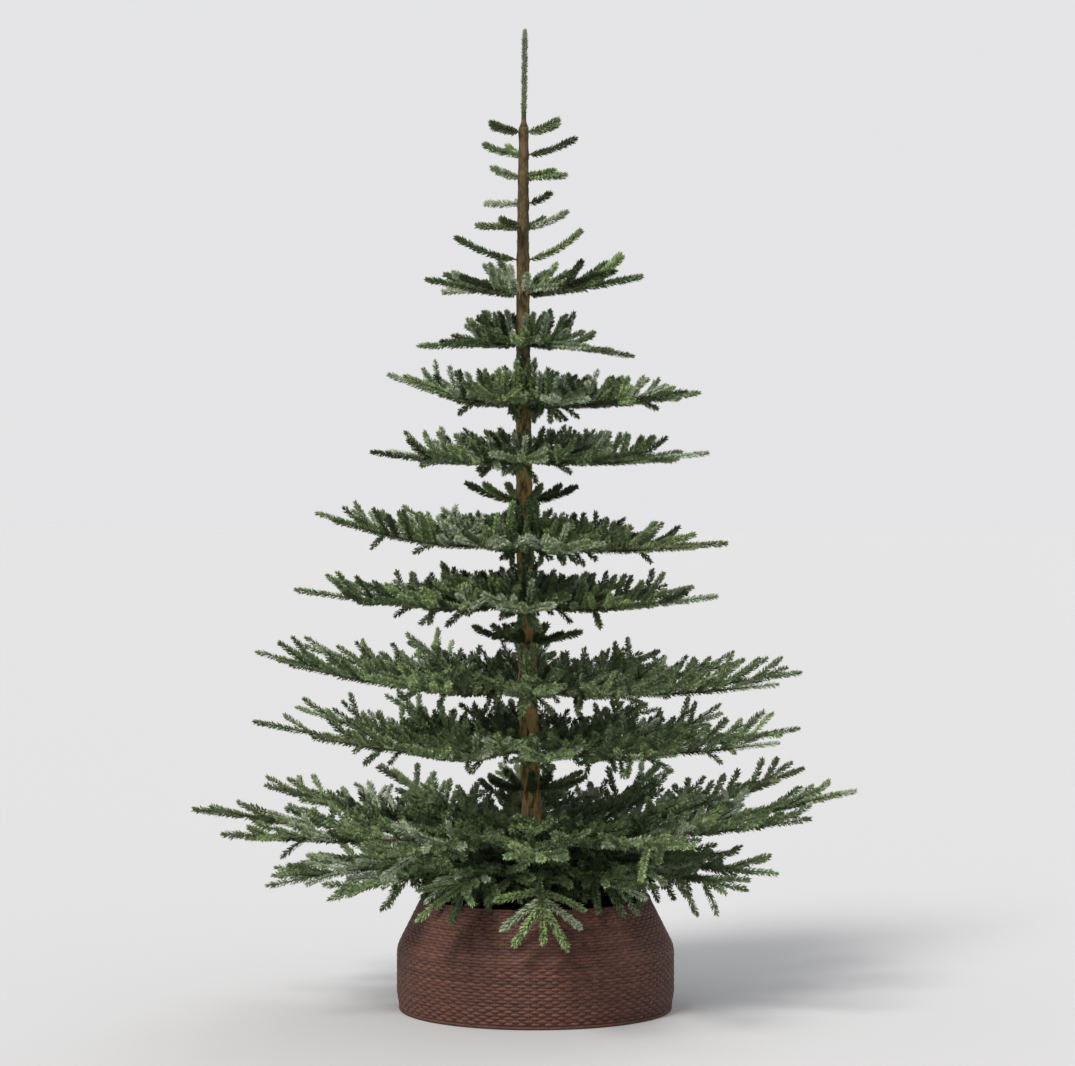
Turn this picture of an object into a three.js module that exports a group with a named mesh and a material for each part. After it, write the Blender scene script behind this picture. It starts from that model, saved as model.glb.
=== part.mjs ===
// A tall, slim, open fir for indoors: a pole-like trunk with a slight lean carries level tiers
// of needle fronds and small whorls of shoots between them, a long bare leader on top, and a
// steel stand that is hidden in a round collar of woven wicker.
// Millimetres, +Z up, the ground at z = 0 and the origin under the middle of the stand.
// The right of the tree is +X, its back is +Y. Angles are degrees, anticlockwise from +X.
import * as THREE from 'three';

// Clearance that touching pieces keep from each other, with more round the leader's thin stem
// and at the tips of the stand's legs
const GAP = 0.35;
const STEM_GAP = 1.3 * GAP;
const LEG_TIP_GAP = 2.5 * GAP;

// Trunk: a round pole that thins upwards and leans to the left
const TREE_HEIGHT = 2286;
const TRUNK_SIDES = 16;
const TRUNK_RINGS = 10;
const TRUNK_BASE_RADIUS = 24;
const TRUNK_TOP_RADIUS = 11;
const TRUNK_TOP = 2056;
const TAPER_POWER = 2.1;
const LEAN = 29;
const LEAN_START = 180;
const LEAN_HEIGHT = 1700;

// Leader: a thin stem that goes on from the trunk, in a sleeve of short needles
const STEM_FOOT = 2072;
const STEM_FOOT_RADIUS = 5;
const STEM_TIP_RADIUS = 2.4;
const STEM_TIP = TREE_HEIGHT - 4;
const SLEEVE_FOOT = STEM_FOOT + 8;
const SLEEVE_RADIUS = 8;
const SLEEVE_RINGS = 6;
const SLEEVE_SIDES = 8;
const SLEEVE_UNEVEN = 0.6;
const SLEEVE_WAVE = 2.3;
const SLEEVE_SHOULDER = 8;

// Stand: a plate with a socket for the trunk, and four legs of flat bar set on edge
const PLATE_RADIUS = 50;
const PLATE_THICKNESS = 8;
const SOCKET_RADIUS = 32.5;
const SOCKET_BORE = 25.2;
const SOCKET_HEIGHT = 168;
const SOCKET_SIDES = 20;
const LEG_COUNT = 4;
const LEG_THICKNESS = 8;
const LEG_TOP = 66;
const LEG_BAR = 30;
const FOOT_LENGTH = 34;
const FOOT_HEIGHT = 15;
const FOOT_BACK_HEIGHT = 21;

// Collar: a ring of wicker, open above and below. Its wall swells a little from the foot, stands
// upright, bends in between two heights and then slants to the rim, by this share of its rise.
const COLLAR_HEIGHT = 264;
const COLLAR_FOOT_RADIUS = 319;
const COLLAR_RADIUS = 326;
const COLLAR_RIM_RADIUS = 267;
const COLLAR_SWELL_END = 44;
const COLLAR_BEND_START = 132;
const COLLAR_BEND_END = 162;
const COLLAR_SLANT = 0.5;
const COLLAR_WALL = 9;
const COLLAR_SIDES = 28;

// Whorls: small rings of single needle shoots round the upper trunk and between the tiers.
// reach is how far a shoot goes out from the trunk's middle, lift how far it rises on the way,
// and each whorl is turned a little, in radians, from the one above it.
const SHOOT_HALF_THICKNESS = 11;
const SHOOT_HALF_WIDTH = 11;
const WHORL_HUB_SHARE = 0.42;
const WHORL_TURN = 0.4;
const RING_SIDES_PER_SHOOT = 3;
const WHORLS = [
  {
    name: 'whorl_01', height: 2044, shoots: 6,
    reach: { left: 92, right: 97 }, lift: { left: 18, right: 25 },
  },
  {
    name: 'whorl_02', height: 1991, shoots: 6,
    reach: { left: 98, right: 126 }, lift: { left: 26, right: 37 },
  },
  {
    name: 'whorl_03', height: 1941, shoots: 6,
    reach: { left: 80, right: 107 }, lift: { left: 19, right: 5 },
  },
  {
    name: 'whorl_04', height: 1878, shoots: 6,
    reach: { left: 98, right: 72 }, lift: { left: 2, right: 23 },
  },
  {
    name: 'whorl_05', height: 1824, shoots: 6,
    reach: { left: 112, right: 107 }, lift: { left: 3, right: 35 },
  },
  {
    name: 'whorl_06', height: 1747, shoots: 8,
    reach: { left: 161, right: 140 }, lift: { left: 52, right: 68 },
  },
  {
    name: 'whorl_11', height: 1185, shoots: 6,
    reach: { left: 143, right: 128 }, lift: { left: 42, right: 35 },
  },
  {
    name: 'whorl_14', height: 859, shoots: 6,
    reach: { left: 129, right: 132 }, lift: { left: 34, right: 20 },
  },
  {
    name: 'whorl_17', height: 513, shoots: 6,
    reach: { left: 110, right: 150 }, lift: { left: 24, right: 33 },
  },
];

// Tiers: level rings of fronds. Each is a ring of masses, and each mass has a few fronds, which
// show as the lobes of its outline. above and below are a mass's thickness about its middle
// height, and turn is where the first frond points. On the two lowest tiers bare boughs carry
// the masses, and one frond at the front hangs over the collar.
const TIERS = [
  {
    name: 'tier_07', height: 1668, above: 30, below: 20, masses: 2, fronds: 4, turn: 3,
    reach: { right: 280, back: 240, left: 229, front: 225 },
    lift: { right: 42, back: 45, left: 34, front: 34 },
  },
  {
    name: 'tier_08', height: 1556, above: 56, below: 28, masses: 2, fronds: 4, turn: -6,
    reach: { right: 262, back: 255, left: 247, front: 245 },
    lift: { right: -34, back: 14, left: -9, front: 0 },
  },
  {
    name: 'tier_09', height: 1423, above: 70, below: 36, masses: 3, fronds: 3, turn: 11,
    reach: { right: 437, back: 375, left: 326, front: 365 },
    lift: { right: 18, back: 30, left: 60, front: 20 },
  },
  {
    name: 'tier_10', height: 1295, above: 60, below: 44, masses: 3, fronds: 3, turn: -11,
    reach: { right: 440, back: 395, left: 358, front: 385 },
    lift: { right: 4, back: 10, left: 6, front: 2 },
  },
  {
    name: 'tier_12', height: 1098, above: 68, below: 38, masses: 3, fronds: 3, turn: 9,
    reach: { right: 484, back: 475, left: 505, front: 455 },
    lift: { right: -14, back: 32, left: 58, front: 12 },
  },
  {
    name: 'tier_13', height: 960, above: 62, below: 44, masses: 3, fronds: 3, turn: -9,
    reach: { right: 446, back: 480, left: 552, front: 475 },
    lift: { right: 8, back: 34, left: 27, front: 4 },
  },
  {
    name: 'tier_15', height: 768, above: 58, below: 38, masses: 4, fronds: 3, turn: 0,
    reach: { right: 646, back: 610, left: 637, front: 600 },
    lift: { right: 16, back: 52, left: 66, front: 22 },
  },
  {
    name: 'tier_16', height: 630, above: 54, below: 42, masses: 4, fronds: 3, turn: 5,
    reach: { right: 634, back: 605, left: 640, front: 600 },
    lift: { right: 22, back: 50, left: 48, front: 12 },
  },
  {
    name: 'tier_18', height: 420, above: 56, below: 34, masses: 4, fronds: 3, turn: 0, boughs: true,
    reach: { right: 764, back: 735, left: 789, front: 715 },
    lift: { right: 90, back: 84, left: 50, front: 14 },
  },
  {
    name: 'tier_19', height: 340, above: 34, below: 24, masses: 4, fronds: 3, turn: 3, boughs: true,
    reach: { right: 570, back: 560, left: 627, front: 440 },
    lift: { right: -30, back: -18, left: -46, front: -42 },
    hanging: { azimuth: -87, drop: 62, width: 15 },
  },
];

// How a frond and a mass are shaped
const RADIAL_STEPS = 3;
const FROND_STEPS = [
  { place: 0, lobe: 0 },
  { place: 0.36, lobe: 0.62 },
  { place: 0.5, lobe: 1 },
  { place: 0.64, lobe: 0.62 },
];
const NOTCH = 0.3;
const RIDGE = 0.3;
const TIP_SHARE = 0.26;
const INNER_SWELL = 0.17;
const LIFT_POWER = 1.6;
const DROOP_POWER = 3;
const RIPPLE_HEIGHT = 3;
const RIPPLE_REACH = 0.06;
const REACH_WAVES_ROUND = 5;
const RIPPLES_ROUND = 9;
const RIPPLE_OUTWARDS = 7;
const MASS_GAP_AT_TIP = 15;

// Boughs: bare tapering limbs from the trunk to the masses of the two lowest tiers
const BOUGH_REACH = 95;
const BOUGH_ROOT_RADIUS = 9;
const BOUGH_END_RADIUS = 7.5;
const BOUGH_SIDES = 8;

const bark = new THREE.MeshStandardMaterial({ color: 0x6d5f41, roughness: 0.9, metalness: 0 });
const needles = new THREE.MeshStandardMaterial({ color: 0x46583f, roughness: 0.75, metalness: 0 });
const wicker = new THREE.MeshStandardMaterial({ color: 0x64443a, roughness: 0.7, metalness: 0 });
const paintedSteel = new THREE.MeshStandardMaterial({ color: 0x23302a, roughness: 0.45, metalness: 0.6 });

const tree = new THREE.Group();

function add(name, geometry, material) {
  geometry.computeVertexNormals();
  const mesh = new THREE.Mesh(geometry, material);
  mesh.name = name;
  tree.add(mesh);
  return mesh;
}

function radians(degrees) {
  return THREE.MathUtils.degToRad(degrees);
}

// Where the middle of the trunk stands at a height: upright in the socket, then ever less slanted
function lean(height) {
  const share = Math.max(height - LEAN_START, 0) / (LEAN_HEIGHT - LEAN_START);
  return -LEAN * (1 - (1 - share) ** 2);
}

function trunkRadius(height) {
  const share = Math.min(height / TRUNK_TOP, 1) ** TAPER_POWER;
  return THREE.MathUtils.lerp(TRUNK_BASE_RADIUS, TRUNK_TOP_RADIUS, share);
}

function stemRadius(height) {
  const share = (height - STEM_FOOT) / (STEM_TIP - STEM_FOOT);
  return THREE.MathUtils.lerp(STEM_FOOT_RADIUS, STEM_TIP_RADIUS, share);
}

// Turns a lathe's axis upright and, for what stands on the trunk, follows the lean
function stand(geometry, leans) {
  geometry.rotateX(Math.PI / 2);
  if (leans) {
    const position = geometry.attributes.position;
    for (let i = 0; i < position.count; i += 1) {
      position.setX(i, position.getX(i) + lean(position.getZ(i)));
    }
  }
  return geometry;
}

function lathe(profile, sides, leans) {
  const points = profile.map(([radius, height]) => new THREE.Vector2(radius, height));
  return stand(new THREE.LatheGeometry(points, sides), leans);
}

// A value that is given to the right, back, left and front, at any angle between
function around({ right, back, left, front }, angle) {
  const mean = (right + back + left + front) / 4;
  const sideways = ((right - left) / 2) * Math.cos(angle);
  const inDepth = ((back - front) / 2) * Math.sin(angle);
  const oval = ((right + left - back - front) / 4) * Math.cos(2 * angle);
  return mean + sideways + inDepth + oval;
}

// Full length of a frond at this angle, a little uneven except straight to either side
function frondReach(tier, angle) {
  const uneven = Math.sin(angle) * Math.sin(REACH_WAVES_ROUND * angle + tier.height);
  return around(tier.reach, angle) * (1 + RIPPLE_REACH * uneven);
}

function frondLift(tier, angle) {
  let lift = around(tier.lift, angle);
  if (tier.hanging) {
    const turn = angle - radians(tier.hanging.azimuth);
    const away = Math.atan2(Math.sin(turn), Math.cos(turn)) / radians(tier.hanging.width);
    lift -= tier.hanging.drop * Math.exp(-away * away);
  }
  return lift;
}

// Height of a frond's middle line at a distance from the trunk
function frondHeight(tier, angle, radius) {
  const lift = frondLift(tier, angle);
  const power = lift < 0 ? DROOP_POWER : LIFT_POWER;
  return tier.height + lift * (radius / frondReach(tier, angle)) ** power;
}

function swell(share) {
  const bulge = Math.sin(Math.PI * (INNER_SWELL + (1 - INNER_SWELL) * share));
  return TIP_SHARE + (1 - TIP_SHARE) * bulge;
}

// Trunk and stem in one piece, from a flat cut in the socket to the top of the leader
function trunkGeometry() {
  const foot = PLATE_THICKNESS + GAP;
  const profile = [[0, foot]];
  for (let ring = 0; ring <= TRUNK_RINGS; ring += 1) {
    const height = THREE.MathUtils.lerp(foot, TRUNK_TOP, ring / TRUNK_RINGS);
    profile.push([trunkRadius(height), height]);
  }
  profile.push([stemRadius(STEM_FOOT), STEM_FOOT], [stemRadius(STEM_TIP), STEM_TIP], [0, STEM_TIP]);
  return lathe(profile, TRUNK_SIDES, true);
}

// Needles round the leader: a sleeve with the stem's pocket in it, uneven and blunt at the top
function leaderGeometry() {
  const clear = STEM_GAP / Math.cos(Math.PI / SLEEVE_SIDES);
  const pocketTop = STEM_TIP + GAP;
  const profile = [[0, pocketTop], [stemRadius(STEM_TIP) + clear, pocketTop]];
  profile.push([stemRadius(SLEEVE_FOOT) + clear, SLEEVE_FOOT]);
  for (let ring = 0; ring <= SLEEVE_RINGS; ring += 1) {
    const height = THREE.MathUtils.lerp(SLEEVE_FOOT, TREE_HEIGHT - SLEEVE_SHOULDER, ring / SLEEVE_RINGS);
    profile.push([SLEEVE_RADIUS + SLEEVE_UNEVEN * Math.sin(SLEEVE_WAVE * ring), height]);
  }
  profile.push([SLEEVE_RADIUS / 2, TREE_HEIGHT], [0, TREE_HEIGHT]);
  return lathe(profile, SLEEVE_SIDES, true);
}

// A whorl: a ring round the trunk whose rim runs out along each shoot and back between them
function whorlGeometry(whorl, number) {
  const ringProfile = [[0, -1], [1, -1], [1, 1], [0, 1], [0, -1]];
  const sides = whorl.shoots * RING_SIDES_PER_SHOOT;
  const points = ringProfile.map(([out, up]) => new THREE.Vector2(1 + out, up));
  const geometry = new THREE.LatheGeometry(points, sides);
  const position = geometry.attributes.position;
  const spacing = (2 * Math.PI) / whorl.shoots;
  const inner = (trunkRadius(whorl.height - SHOOT_HALF_THICKNESS) + GAP) / Math.cos(spacing / 4);
  for (let i = 0; i < position.count; i += 1) {
    const [out, up] = ringProfile[i % ringProfile.length];
    const side = Math.floor(i / ringProfile.length) % sides;
    const shoot = Math.floor(side / RING_SIDES_PER_SHOOT);
    const step = side % RING_SIDES_PER_SHOOT;
    const middle = spacing * (shoot + 0.5) + WHORL_TURN * number;
    const toRight = (1 + Math.cos(middle)) / 2;
    const reach = THREE.MathUtils.lerp(whorl.reach.left, whorl.reach.right, toRight);
    const lift = THREE.MathUtils.lerp(whorl.lift.left, whorl.lift.right, toRight);
    const halfAngle = step === 0 ? spacing / 2 : SHOOT_HALF_WIDTH / reach;
    const angle = middle + (step === 2 ? halfAngle : -halfAngle);
    const rim = step === 0 ? reach * WHORL_HUB_SHARE : reach;
    const radius = out === 0 ? inner : rim;
    const innerAngle = spacing * (shoot + step / RING_SIDES_PER_SHOOT) + WHORL_TURN * number;
    const at = out === 0 ? innerAngle : angle;
    const rise = out === 0 ? 0 : lift * (rim / reach) ** LIFT_POWER;
    const height = whorl.height + rise + up * SHOOT_HALF_THICKNESS;
    position.setXYZ(i, radius * Math.cos(at) + lean(height), radius * Math.sin(at), height);
  }
  return geometry;
}

// A foliage mass: a box grid with its length laid out along the fronds, its width round the
// trunk and its thickness upright, cut short of the trunk or of the boughs that carry it
function massGeometry(tier, number) {
  const columns = tier.fronds * FROND_STEPS.length;
  const geometry = new THREE.BoxGeometry(1, 1, 1, RADIAL_STEPS, columns, 1);
  const position = geometry.attributes.position;
  const spacing = (2 * Math.PI) / (tier.masses * tier.fronds);
  const sector = spacing * tier.fronds;
  const start = radians(tier.turn) - spacing / 2 + number * sector;
  const widestStep = spacing * FROND_STEPS[1].place;
  const trunkClear = (trunkRadius(tier.height - tier.below) + GAP) / Math.cos(widestStep / 2);
  const inner = tier.boughs ? BOUGH_REACH : trunkClear;
  for (let i = 0; i < position.count; i += 1) {
    const share = position.getX(i) + 0.5;
    const column = Math.round((position.getY(i) + 0.5) * columns);
    const above = position.getZ(i) > 0;
    const frond = Math.floor(column / FROND_STEPS.length);
    const { place, lobe } = FROND_STEPS[column % FROND_STEPS.length];
    const angle = start + spacing * (frond + place);
    const reach = frondReach(tier, angle);
    const outline = reach * (1 - NOTCH * (1 - lobe));
    const radius = THREE.MathUtils.lerp(inner, outline, share);
    const sideGap = (GAP + MASS_GAP_AT_TIP * (radius / reach) ** 2) / radius;
    const middle = start + sector / 2;
    const turned = middle + (angle - middle) * (1 - (2 * sideGap) / sector);
    const phase = RIPPLES_ROUND * angle + RIPPLE_OUTWARDS * share + tier.height;
    const ripple = RIPPLE_HEIGHT * Math.sin(phase);
    const thickness = (above ? tier.above : tier.below) * swell(share) * (1 - RIDGE * (1 - lobe));
    const height = frondHeight(tier, angle, radius) + (above ? thickness : -thickness) + ripple;
    position.setXYZ(i, radius * Math.cos(turned) + lean(height), radius * Math.sin(turned), height);
  }
  return geometry;
}

// A bare bough, from the trunk to the middle of a mass
function boughGeometry(tier, number) {
  const spacing = (2 * Math.PI) / (tier.masses * tier.fronds);
  const angle = radians(tier.turn) + spacing * (tier.fronds * (number + 0.5) - 0.5);
  const root = trunkRadius(tier.height - BOUGH_ROOT_RADIUS) + GAP;
  const end = Math.sqrt((BOUGH_REACH - 2 * GAP) ** 2 - BOUGH_END_RADIUS ** 2);
  const geometry = new THREE.CylinderGeometry(BOUGH_END_RADIUS, BOUGH_ROOT_RADIUS, end - root, BOUGH_SIDES);
  geometry.rotateZ(-Math.PI / 2);
  geometry.translate((root + end) / 2, 0, 0);
  geometry.rotateZ(angle);
  geometry.translate(lean(tier.height), 0, tier.height);
  return geometry;
}

function collarProfile(inset) {
  const bendRadius = COLLAR_RIM_RADIUS + COLLAR_SLANT * (COLLAR_HEIGHT - COLLAR_BEND_END);
  return [
    [COLLAR_FOOT_RADIUS - inset, 0],
    [COLLAR_RADIUS - inset, COLLAR_SWELL_END],
    [COLLAR_RADIUS - inset, COLLAR_BEND_START],
    [bendRadius - inset, COLLAR_BEND_END],
    [COLLAR_RIM_RADIUS - inset, COLLAR_HEIGHT],
  ];
}

function collarGeometry() {
  const outside = collarProfile(0);
  const inside = collarProfile(COLLAR_WALL).reverse();
  return lathe([...outside, ...inside, outside[0]], COLLAR_SIDES, false);
}

function socketGeometry() {
  const profile = [
    [0, 0],
    [PLATE_RADIUS, 0],
    [PLATE_RADIUS, PLATE_THICKNESS],
    [SOCKET_RADIUS, PLATE_THICKNESS],
    [SOCKET_RADIUS, SOCKET_HEIGHT],
    [SOCKET_BORE, SOCKET_HEIGHT],
    [SOCKET_BORE, PLATE_THICKNESS],
    [0, PLATE_THICKNESS],
  ];
  return lathe(profile, SOCKET_SIDES, false);
}

// A leg: a bar on edge that slopes from the socket down to a foot against the collar's wall
function legGeometry(number) {
  const root = SOCKET_RADIUS + GAP;
  const clearOfPlate = PLATE_THICKNESS + GAP;
  const tip = COLLAR_FOOT_RADIUS - COLLAR_WALL - LEG_TIP_GAP;
  const side = new THREE.Shape();
  side.moveTo(root, clearOfPlate);
  side.lineTo(root, LEG_TOP);
  side.lineTo(tip - FOOT_LENGTH, FOOT_BACK_HEIGHT);
  side.lineTo(tip, FOOT_HEIGHT);
  side.lineTo(tip, 0);
  side.lineTo(tip - FOOT_LENGTH, 0);
  side.lineTo(PLATE_RADIUS + LEG_BAR, LEG_TOP - LEG_BAR);
  side.lineTo(PLATE_RADIUS + 1, clearOfPlate);
  side.closePath();
  const geometry = new THREE.ExtrudeGeometry(side, { depth: LEG_THICKNESS, bevelEnabled: false });
  geometry.translate(0, 0, -LEG_THICKNESS / 2);
  geometry.rotateX(Math.PI / 2);
  geometry.rotateZ((2 * Math.PI * number) / LEG_COUNT);
  return geometry;
}

add('trunk', trunkGeometry(), bark);
add('leader', leaderGeometry(), needles);
add('stand_socket', socketGeometry(), paintedSteel);
for (let number = 0; number < LEG_COUNT; number += 1) {
  add(`stand_leg_${number + 1}`, legGeometry(number), paintedSteel);
}
add('collar', collarGeometry(), wicker);
WHORLS.forEach((whorl, number) => add(whorl.name, whorlGeometry(whorl, number), needles));
for (const tier of TIERS) {
  const label = tier.name.slice(-2);
  for (let number = 0; number < tier.masses; number += 1) {
    add(`${tier.name}_mass_${number + 1}`, massGeometry(tier, number), needles);
    if (tier.boughs) {
      add(`bough_${label}_${number + 1}`, boughGeometry(tier, number), bark);
    }
  }
}

export default tree;
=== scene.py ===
"""Looks of a tall, slim fir for indoors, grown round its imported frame.

Lengths are millimetres and angles degrees unless a name says otherwise, and a mesh turns into
metres when it becomes an object. +X is the tree's right, +Y its back and +Z up.
"""
import logging
import math
from dataclasses import dataclass, field
from enum import Enum, IntEnum, auto
from functools import cached_property

import bpy
import numpy as np
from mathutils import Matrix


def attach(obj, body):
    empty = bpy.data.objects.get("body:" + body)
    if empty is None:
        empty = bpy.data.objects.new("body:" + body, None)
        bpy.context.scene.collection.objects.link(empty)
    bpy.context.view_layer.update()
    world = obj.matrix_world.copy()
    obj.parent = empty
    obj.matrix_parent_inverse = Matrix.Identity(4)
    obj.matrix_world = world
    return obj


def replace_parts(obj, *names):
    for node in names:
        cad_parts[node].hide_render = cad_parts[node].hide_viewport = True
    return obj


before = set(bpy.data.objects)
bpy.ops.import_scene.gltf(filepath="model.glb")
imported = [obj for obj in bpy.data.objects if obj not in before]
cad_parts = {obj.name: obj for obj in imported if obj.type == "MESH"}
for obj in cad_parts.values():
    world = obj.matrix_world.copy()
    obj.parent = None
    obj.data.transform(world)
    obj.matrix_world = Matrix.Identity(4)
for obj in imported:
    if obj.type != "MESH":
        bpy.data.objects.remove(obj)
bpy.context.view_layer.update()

Array = np.ndarray
Slots = np.ndarray | int
Values = dict[str | int, object]
Colour = tuple[float, float, float]
Span = tuple[float, float]
Material = bpy.types.Material

MM = 0.001
SEED = 2286
BODY = "root"
RIGHT, BACK, UP = np.eye(3)
FULL_TURN = 2 * math.pi
GOLDEN_ANGLE = math.pi * (3 - math.sqrt(5))
log = logging.getLogger("fir")


# Small helpers for numbers, vectors and objects

def mix(low: float, high: float, share: float) -> float:
    """Returns the value at a share of the way from low to high."""
    return low + (high - low) * share


def unit(vectors: Array) -> Array:
    """Returns the vectors, one in each row, at length one."""
    return vectors / np.maximum(np.linalg.norm(vectors, axis=-1, keepdims=True), 1e-9)


def smooth_step(values: Array | float) -> Array:
    """Returns values between 0 and 1 eased in and out."""
    held = np.clip(values, 0.0, 1.0)
    return held * held * (3 - 2 * held)


def circle(count: int) -> Array:
    """Returns the angles of so many even steps of a full turn, in radians."""
    return FULL_TURN * np.arange(count) / count


def compass(angle: float) -> Array:
    """Returns the level direction at an angle in radians."""
    return np.array((math.cos(angle), math.sin(angle), 0.0))


def turned(angle: Array, first: Array, second: Array) -> Array:
    """Returns the first vectors turned towards the second by angles in radians."""
    return np.cos(angle)[..., None] * first + np.sin(angle)[..., None] * second


def column(things: list[object], name: str) -> Array:
    """Returns one value of every thing in a list."""
    return np.array([getattr(thing, name) for thing in things])


def across(along: Array) -> tuple[Array, Array]:
    """Finds what lies across a direction.

    Args:
        along: Unit directions, one in each row.

    Returns:
        For each the direction over it and the one beside it; over x beside is along.
    """
    steep = np.abs(along[:, 2:]) > 0.93
    beside = unit(np.cross(along, np.where(steep, BACK, UP)))
    return unit(np.cross(beside, along)), beside


def aimed(along: Array, side: float, forward: float, rise: float) -> Array:
    """Turns a direction to the side and up.

    Args:
        along: A limb's unit direction.
        side: 1 for its left and -1 for its right.
        forward: Angle from the limb.
        rise: Angle above the limb's plane.

    Returns:
        The unit direction.
    """
    beside = unit(np.cross(UP, along))
    over = unit(np.cross(along, beside))
    turn, up = math.radians(forward), math.radians(rise)
    level = math.cos(turn) * along + math.sin(turn) * side * beside
    return math.cos(up) * level + math.sin(up) * over


def linear(*screen: int) -> Colour:
    """Turns a screen colour into the linear one that a shader takes.

    Args:
        *screen: Red, green and blue, each from 0 to 255.

    Returns:
        The linear colour.
    """
    shares = [part / 255 for part in screen]
    return tuple(share / 12.92 if share <= 0.04045 else ((share + 0.055) / 1.055) ** 2.4 for share in shares)


def placed(name: str, data: bpy.types.ID) -> bpy.types.Object:
    """Puts a new object in the scene.

    Args:
        name: Its name.
        data: Its mesh, light or camera.

    Returns:
        The object.
    """
    made = bpy.data.objects.new(name, data)
    bpy.context.scene.collection.objects.link(made)
    return made


# Shader nodes

class Channel:
    """A shader socket's number, on which Python expressions make Math nodes."""

    def __init__(self, sheet: "NodeSheet", socket: bpy.types.NodeSocket) -> None:
        """Keeps the socket and the sheet that holds its nodes."""
        self.sheet, self.socket = sheet, socket

    def _maths(self, operation: str, first: "Channel | float", second: "Channel | float") -> "Channel":
        """Returns the result of a new Math node."""
        made = self.sheet.node("ShaderNodeMath", {"operation": operation}, {0: first, 1: second})
        return self.sheet.out(made)

    def __add__(self, other: "Channel | float") -> "Channel":
        """Returns self + other."""
        return self._maths("ADD", self, other)

    def __radd__(self, other: float) -> "Channel":
        """Returns other + self."""
        return self._maths("ADD", other, self)

    def __sub__(self, other: "Channel | float") -> "Channel":
        """Returns self - other."""
        return self._maths("SUBTRACT", self, other)

    def __rsub__(self, other: float) -> "Channel":
        """Returns other - self."""
        return self._maths("SUBTRACT", other, self)

    def __mul__(self, other: "Channel | float") -> "Channel":
        """Returns self * other."""
        return self._maths("MULTIPLY", self, other)

    def __rmul__(self, other: float) -> "Channel":
        """Returns other * self."""
        return self._maths("MULTIPLY", other, self)

    def turn_from(self, other: "Channel") -> "Channel":
        """Returns the angle, in radians, whose tangent is self / other."""
        return self._maths("ARCTAN2", self, other)


class NodeSheet:
    """The nodes of one material."""

    def __init__(self, name: str) -> None:
        """Makes an empty material.

        Args:
            name: Its name.
        """
        self.material = bpy.data.materials.new(name)
        self.material.use_nodes = True
        self.tree = self.material.node_tree
        self.tree.nodes.clear()

    def node(
        self, kind: str, settings: Values | None = None, sockets: Values | None = None,
    ) -> bpy.types.Node:
        """Adds a node.

        Args:
            kind: Its type.
            settings: Its settings, which are set first.
            sockets: A value or a link for each named or numbered input.

        Returns:
            The node.
        """
        made = self.tree.nodes.new(kind)
        for setting, value in (settings or {}).items():
            setattr(made, setting, value)
        for key, value in (sockets or {}).items():
            socket = made.inputs[key]
            if isinstance(value, Channel):
                self.tree.links.new(value.socket, socket)
            else:
                socket.default_value = (*value, 1.0) if socket.type == "RGBA" else value
        return made

    def out(self, made: bpy.types.Node, key: str | int = 0) -> Channel:
        """Returns one output of a node."""
        return Channel(self, made.outputs[key])

    def place(self) -> Channel:
        """Returns the point on the object, in metres."""
        return self.out(self.node("ShaderNodeTexCoord"), "Object")

    def parts(self, vector: Channel) -> list[Channel]:
        """Returns a vector's three numbers."""
        made = self.node("ShaderNodeSeparateXYZ", sockets={0: vector})
        return [self.out(made, axis) for axis in range(3)]

    def vector(self, *parts: Channel | float) -> Channel:
        """Returns a vector made of three numbers."""
        return self.out(self.node("ShaderNodeCombineXYZ", sockets=dict(enumerate(parts))))

    def noise(self, at: Channel, scale: float, detail: float = 2.0, roughness: float = 0.5) -> Channel:
        """Samples noise.

        Args:
            at: The point.
            scale: Cells for each unit of the point.
            detail: How many finer layers it has.
            roughness: How strong they are.

        Returns:
            A number round one half.
        """
        sockets = {"Vector": at, "Scale": scale, "Detail": detail, "Roughness": roughness}
        return self.out(self.node("ShaderNodeTexNoise", {"noise_dimensions": "3D"}, sockets), "Fac")

    def between(self, value: Channel, low: float, high: float) -> Channel:
        """Returns value spread so that low gives 0 and high gives 1, and held there."""
        made = self.node("ShaderNodeMapRange", {"clamp": True}, {0: value, 1: low, 2: high, 3: 0.0, 4: 1.0})
        return self.out(made)

    def blend(self, factor: Channel, first: Channel | Colour, second: Channel | Colour) -> Channel:
        """Returns the first colour where the factor is 0 and the second where it is 1."""
        made = self.node("ShaderNodeMix", {"data_type": "RGBA"}, {0: factor, 6: first, 7: second})
        return self.out(made, 2)

    def bump(self, height: Channel, distance: float) -> Channel:
        """Returns the normal that a height bends, where a height of 1 stands for a distance in metres."""
        return self.out(self.node("ShaderNodeBump", sockets={"Height": height, "Distance": distance}))

    def surface(
        self, colour: Channel | Colour, roughness: Channel | float, specular: float, **others: object,
    ) -> Material:
        """Ends the sheet in a Principled shader.

        Args:
            colour: Its base colour.
            roughness: Its roughness.
            specular: Its specular level.
            **others: More of its sockets, with underscores for the spaces in their names.

        Returns:
            The finished material.
        """
        sockets = {"Base Color": colour, "Roughness": roughness, "Specular IOR Level": specular}
        sockets |= {name.replace("_", " "): value for name, value in others.items()}
        shader = self.node("ShaderNodeBsdfPrincipled", sockets=sockets)
        self.node("ShaderNodeOutputMaterial", sockets={"Surface": self.out(shader)})
        return self.material


# Finishes

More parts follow.
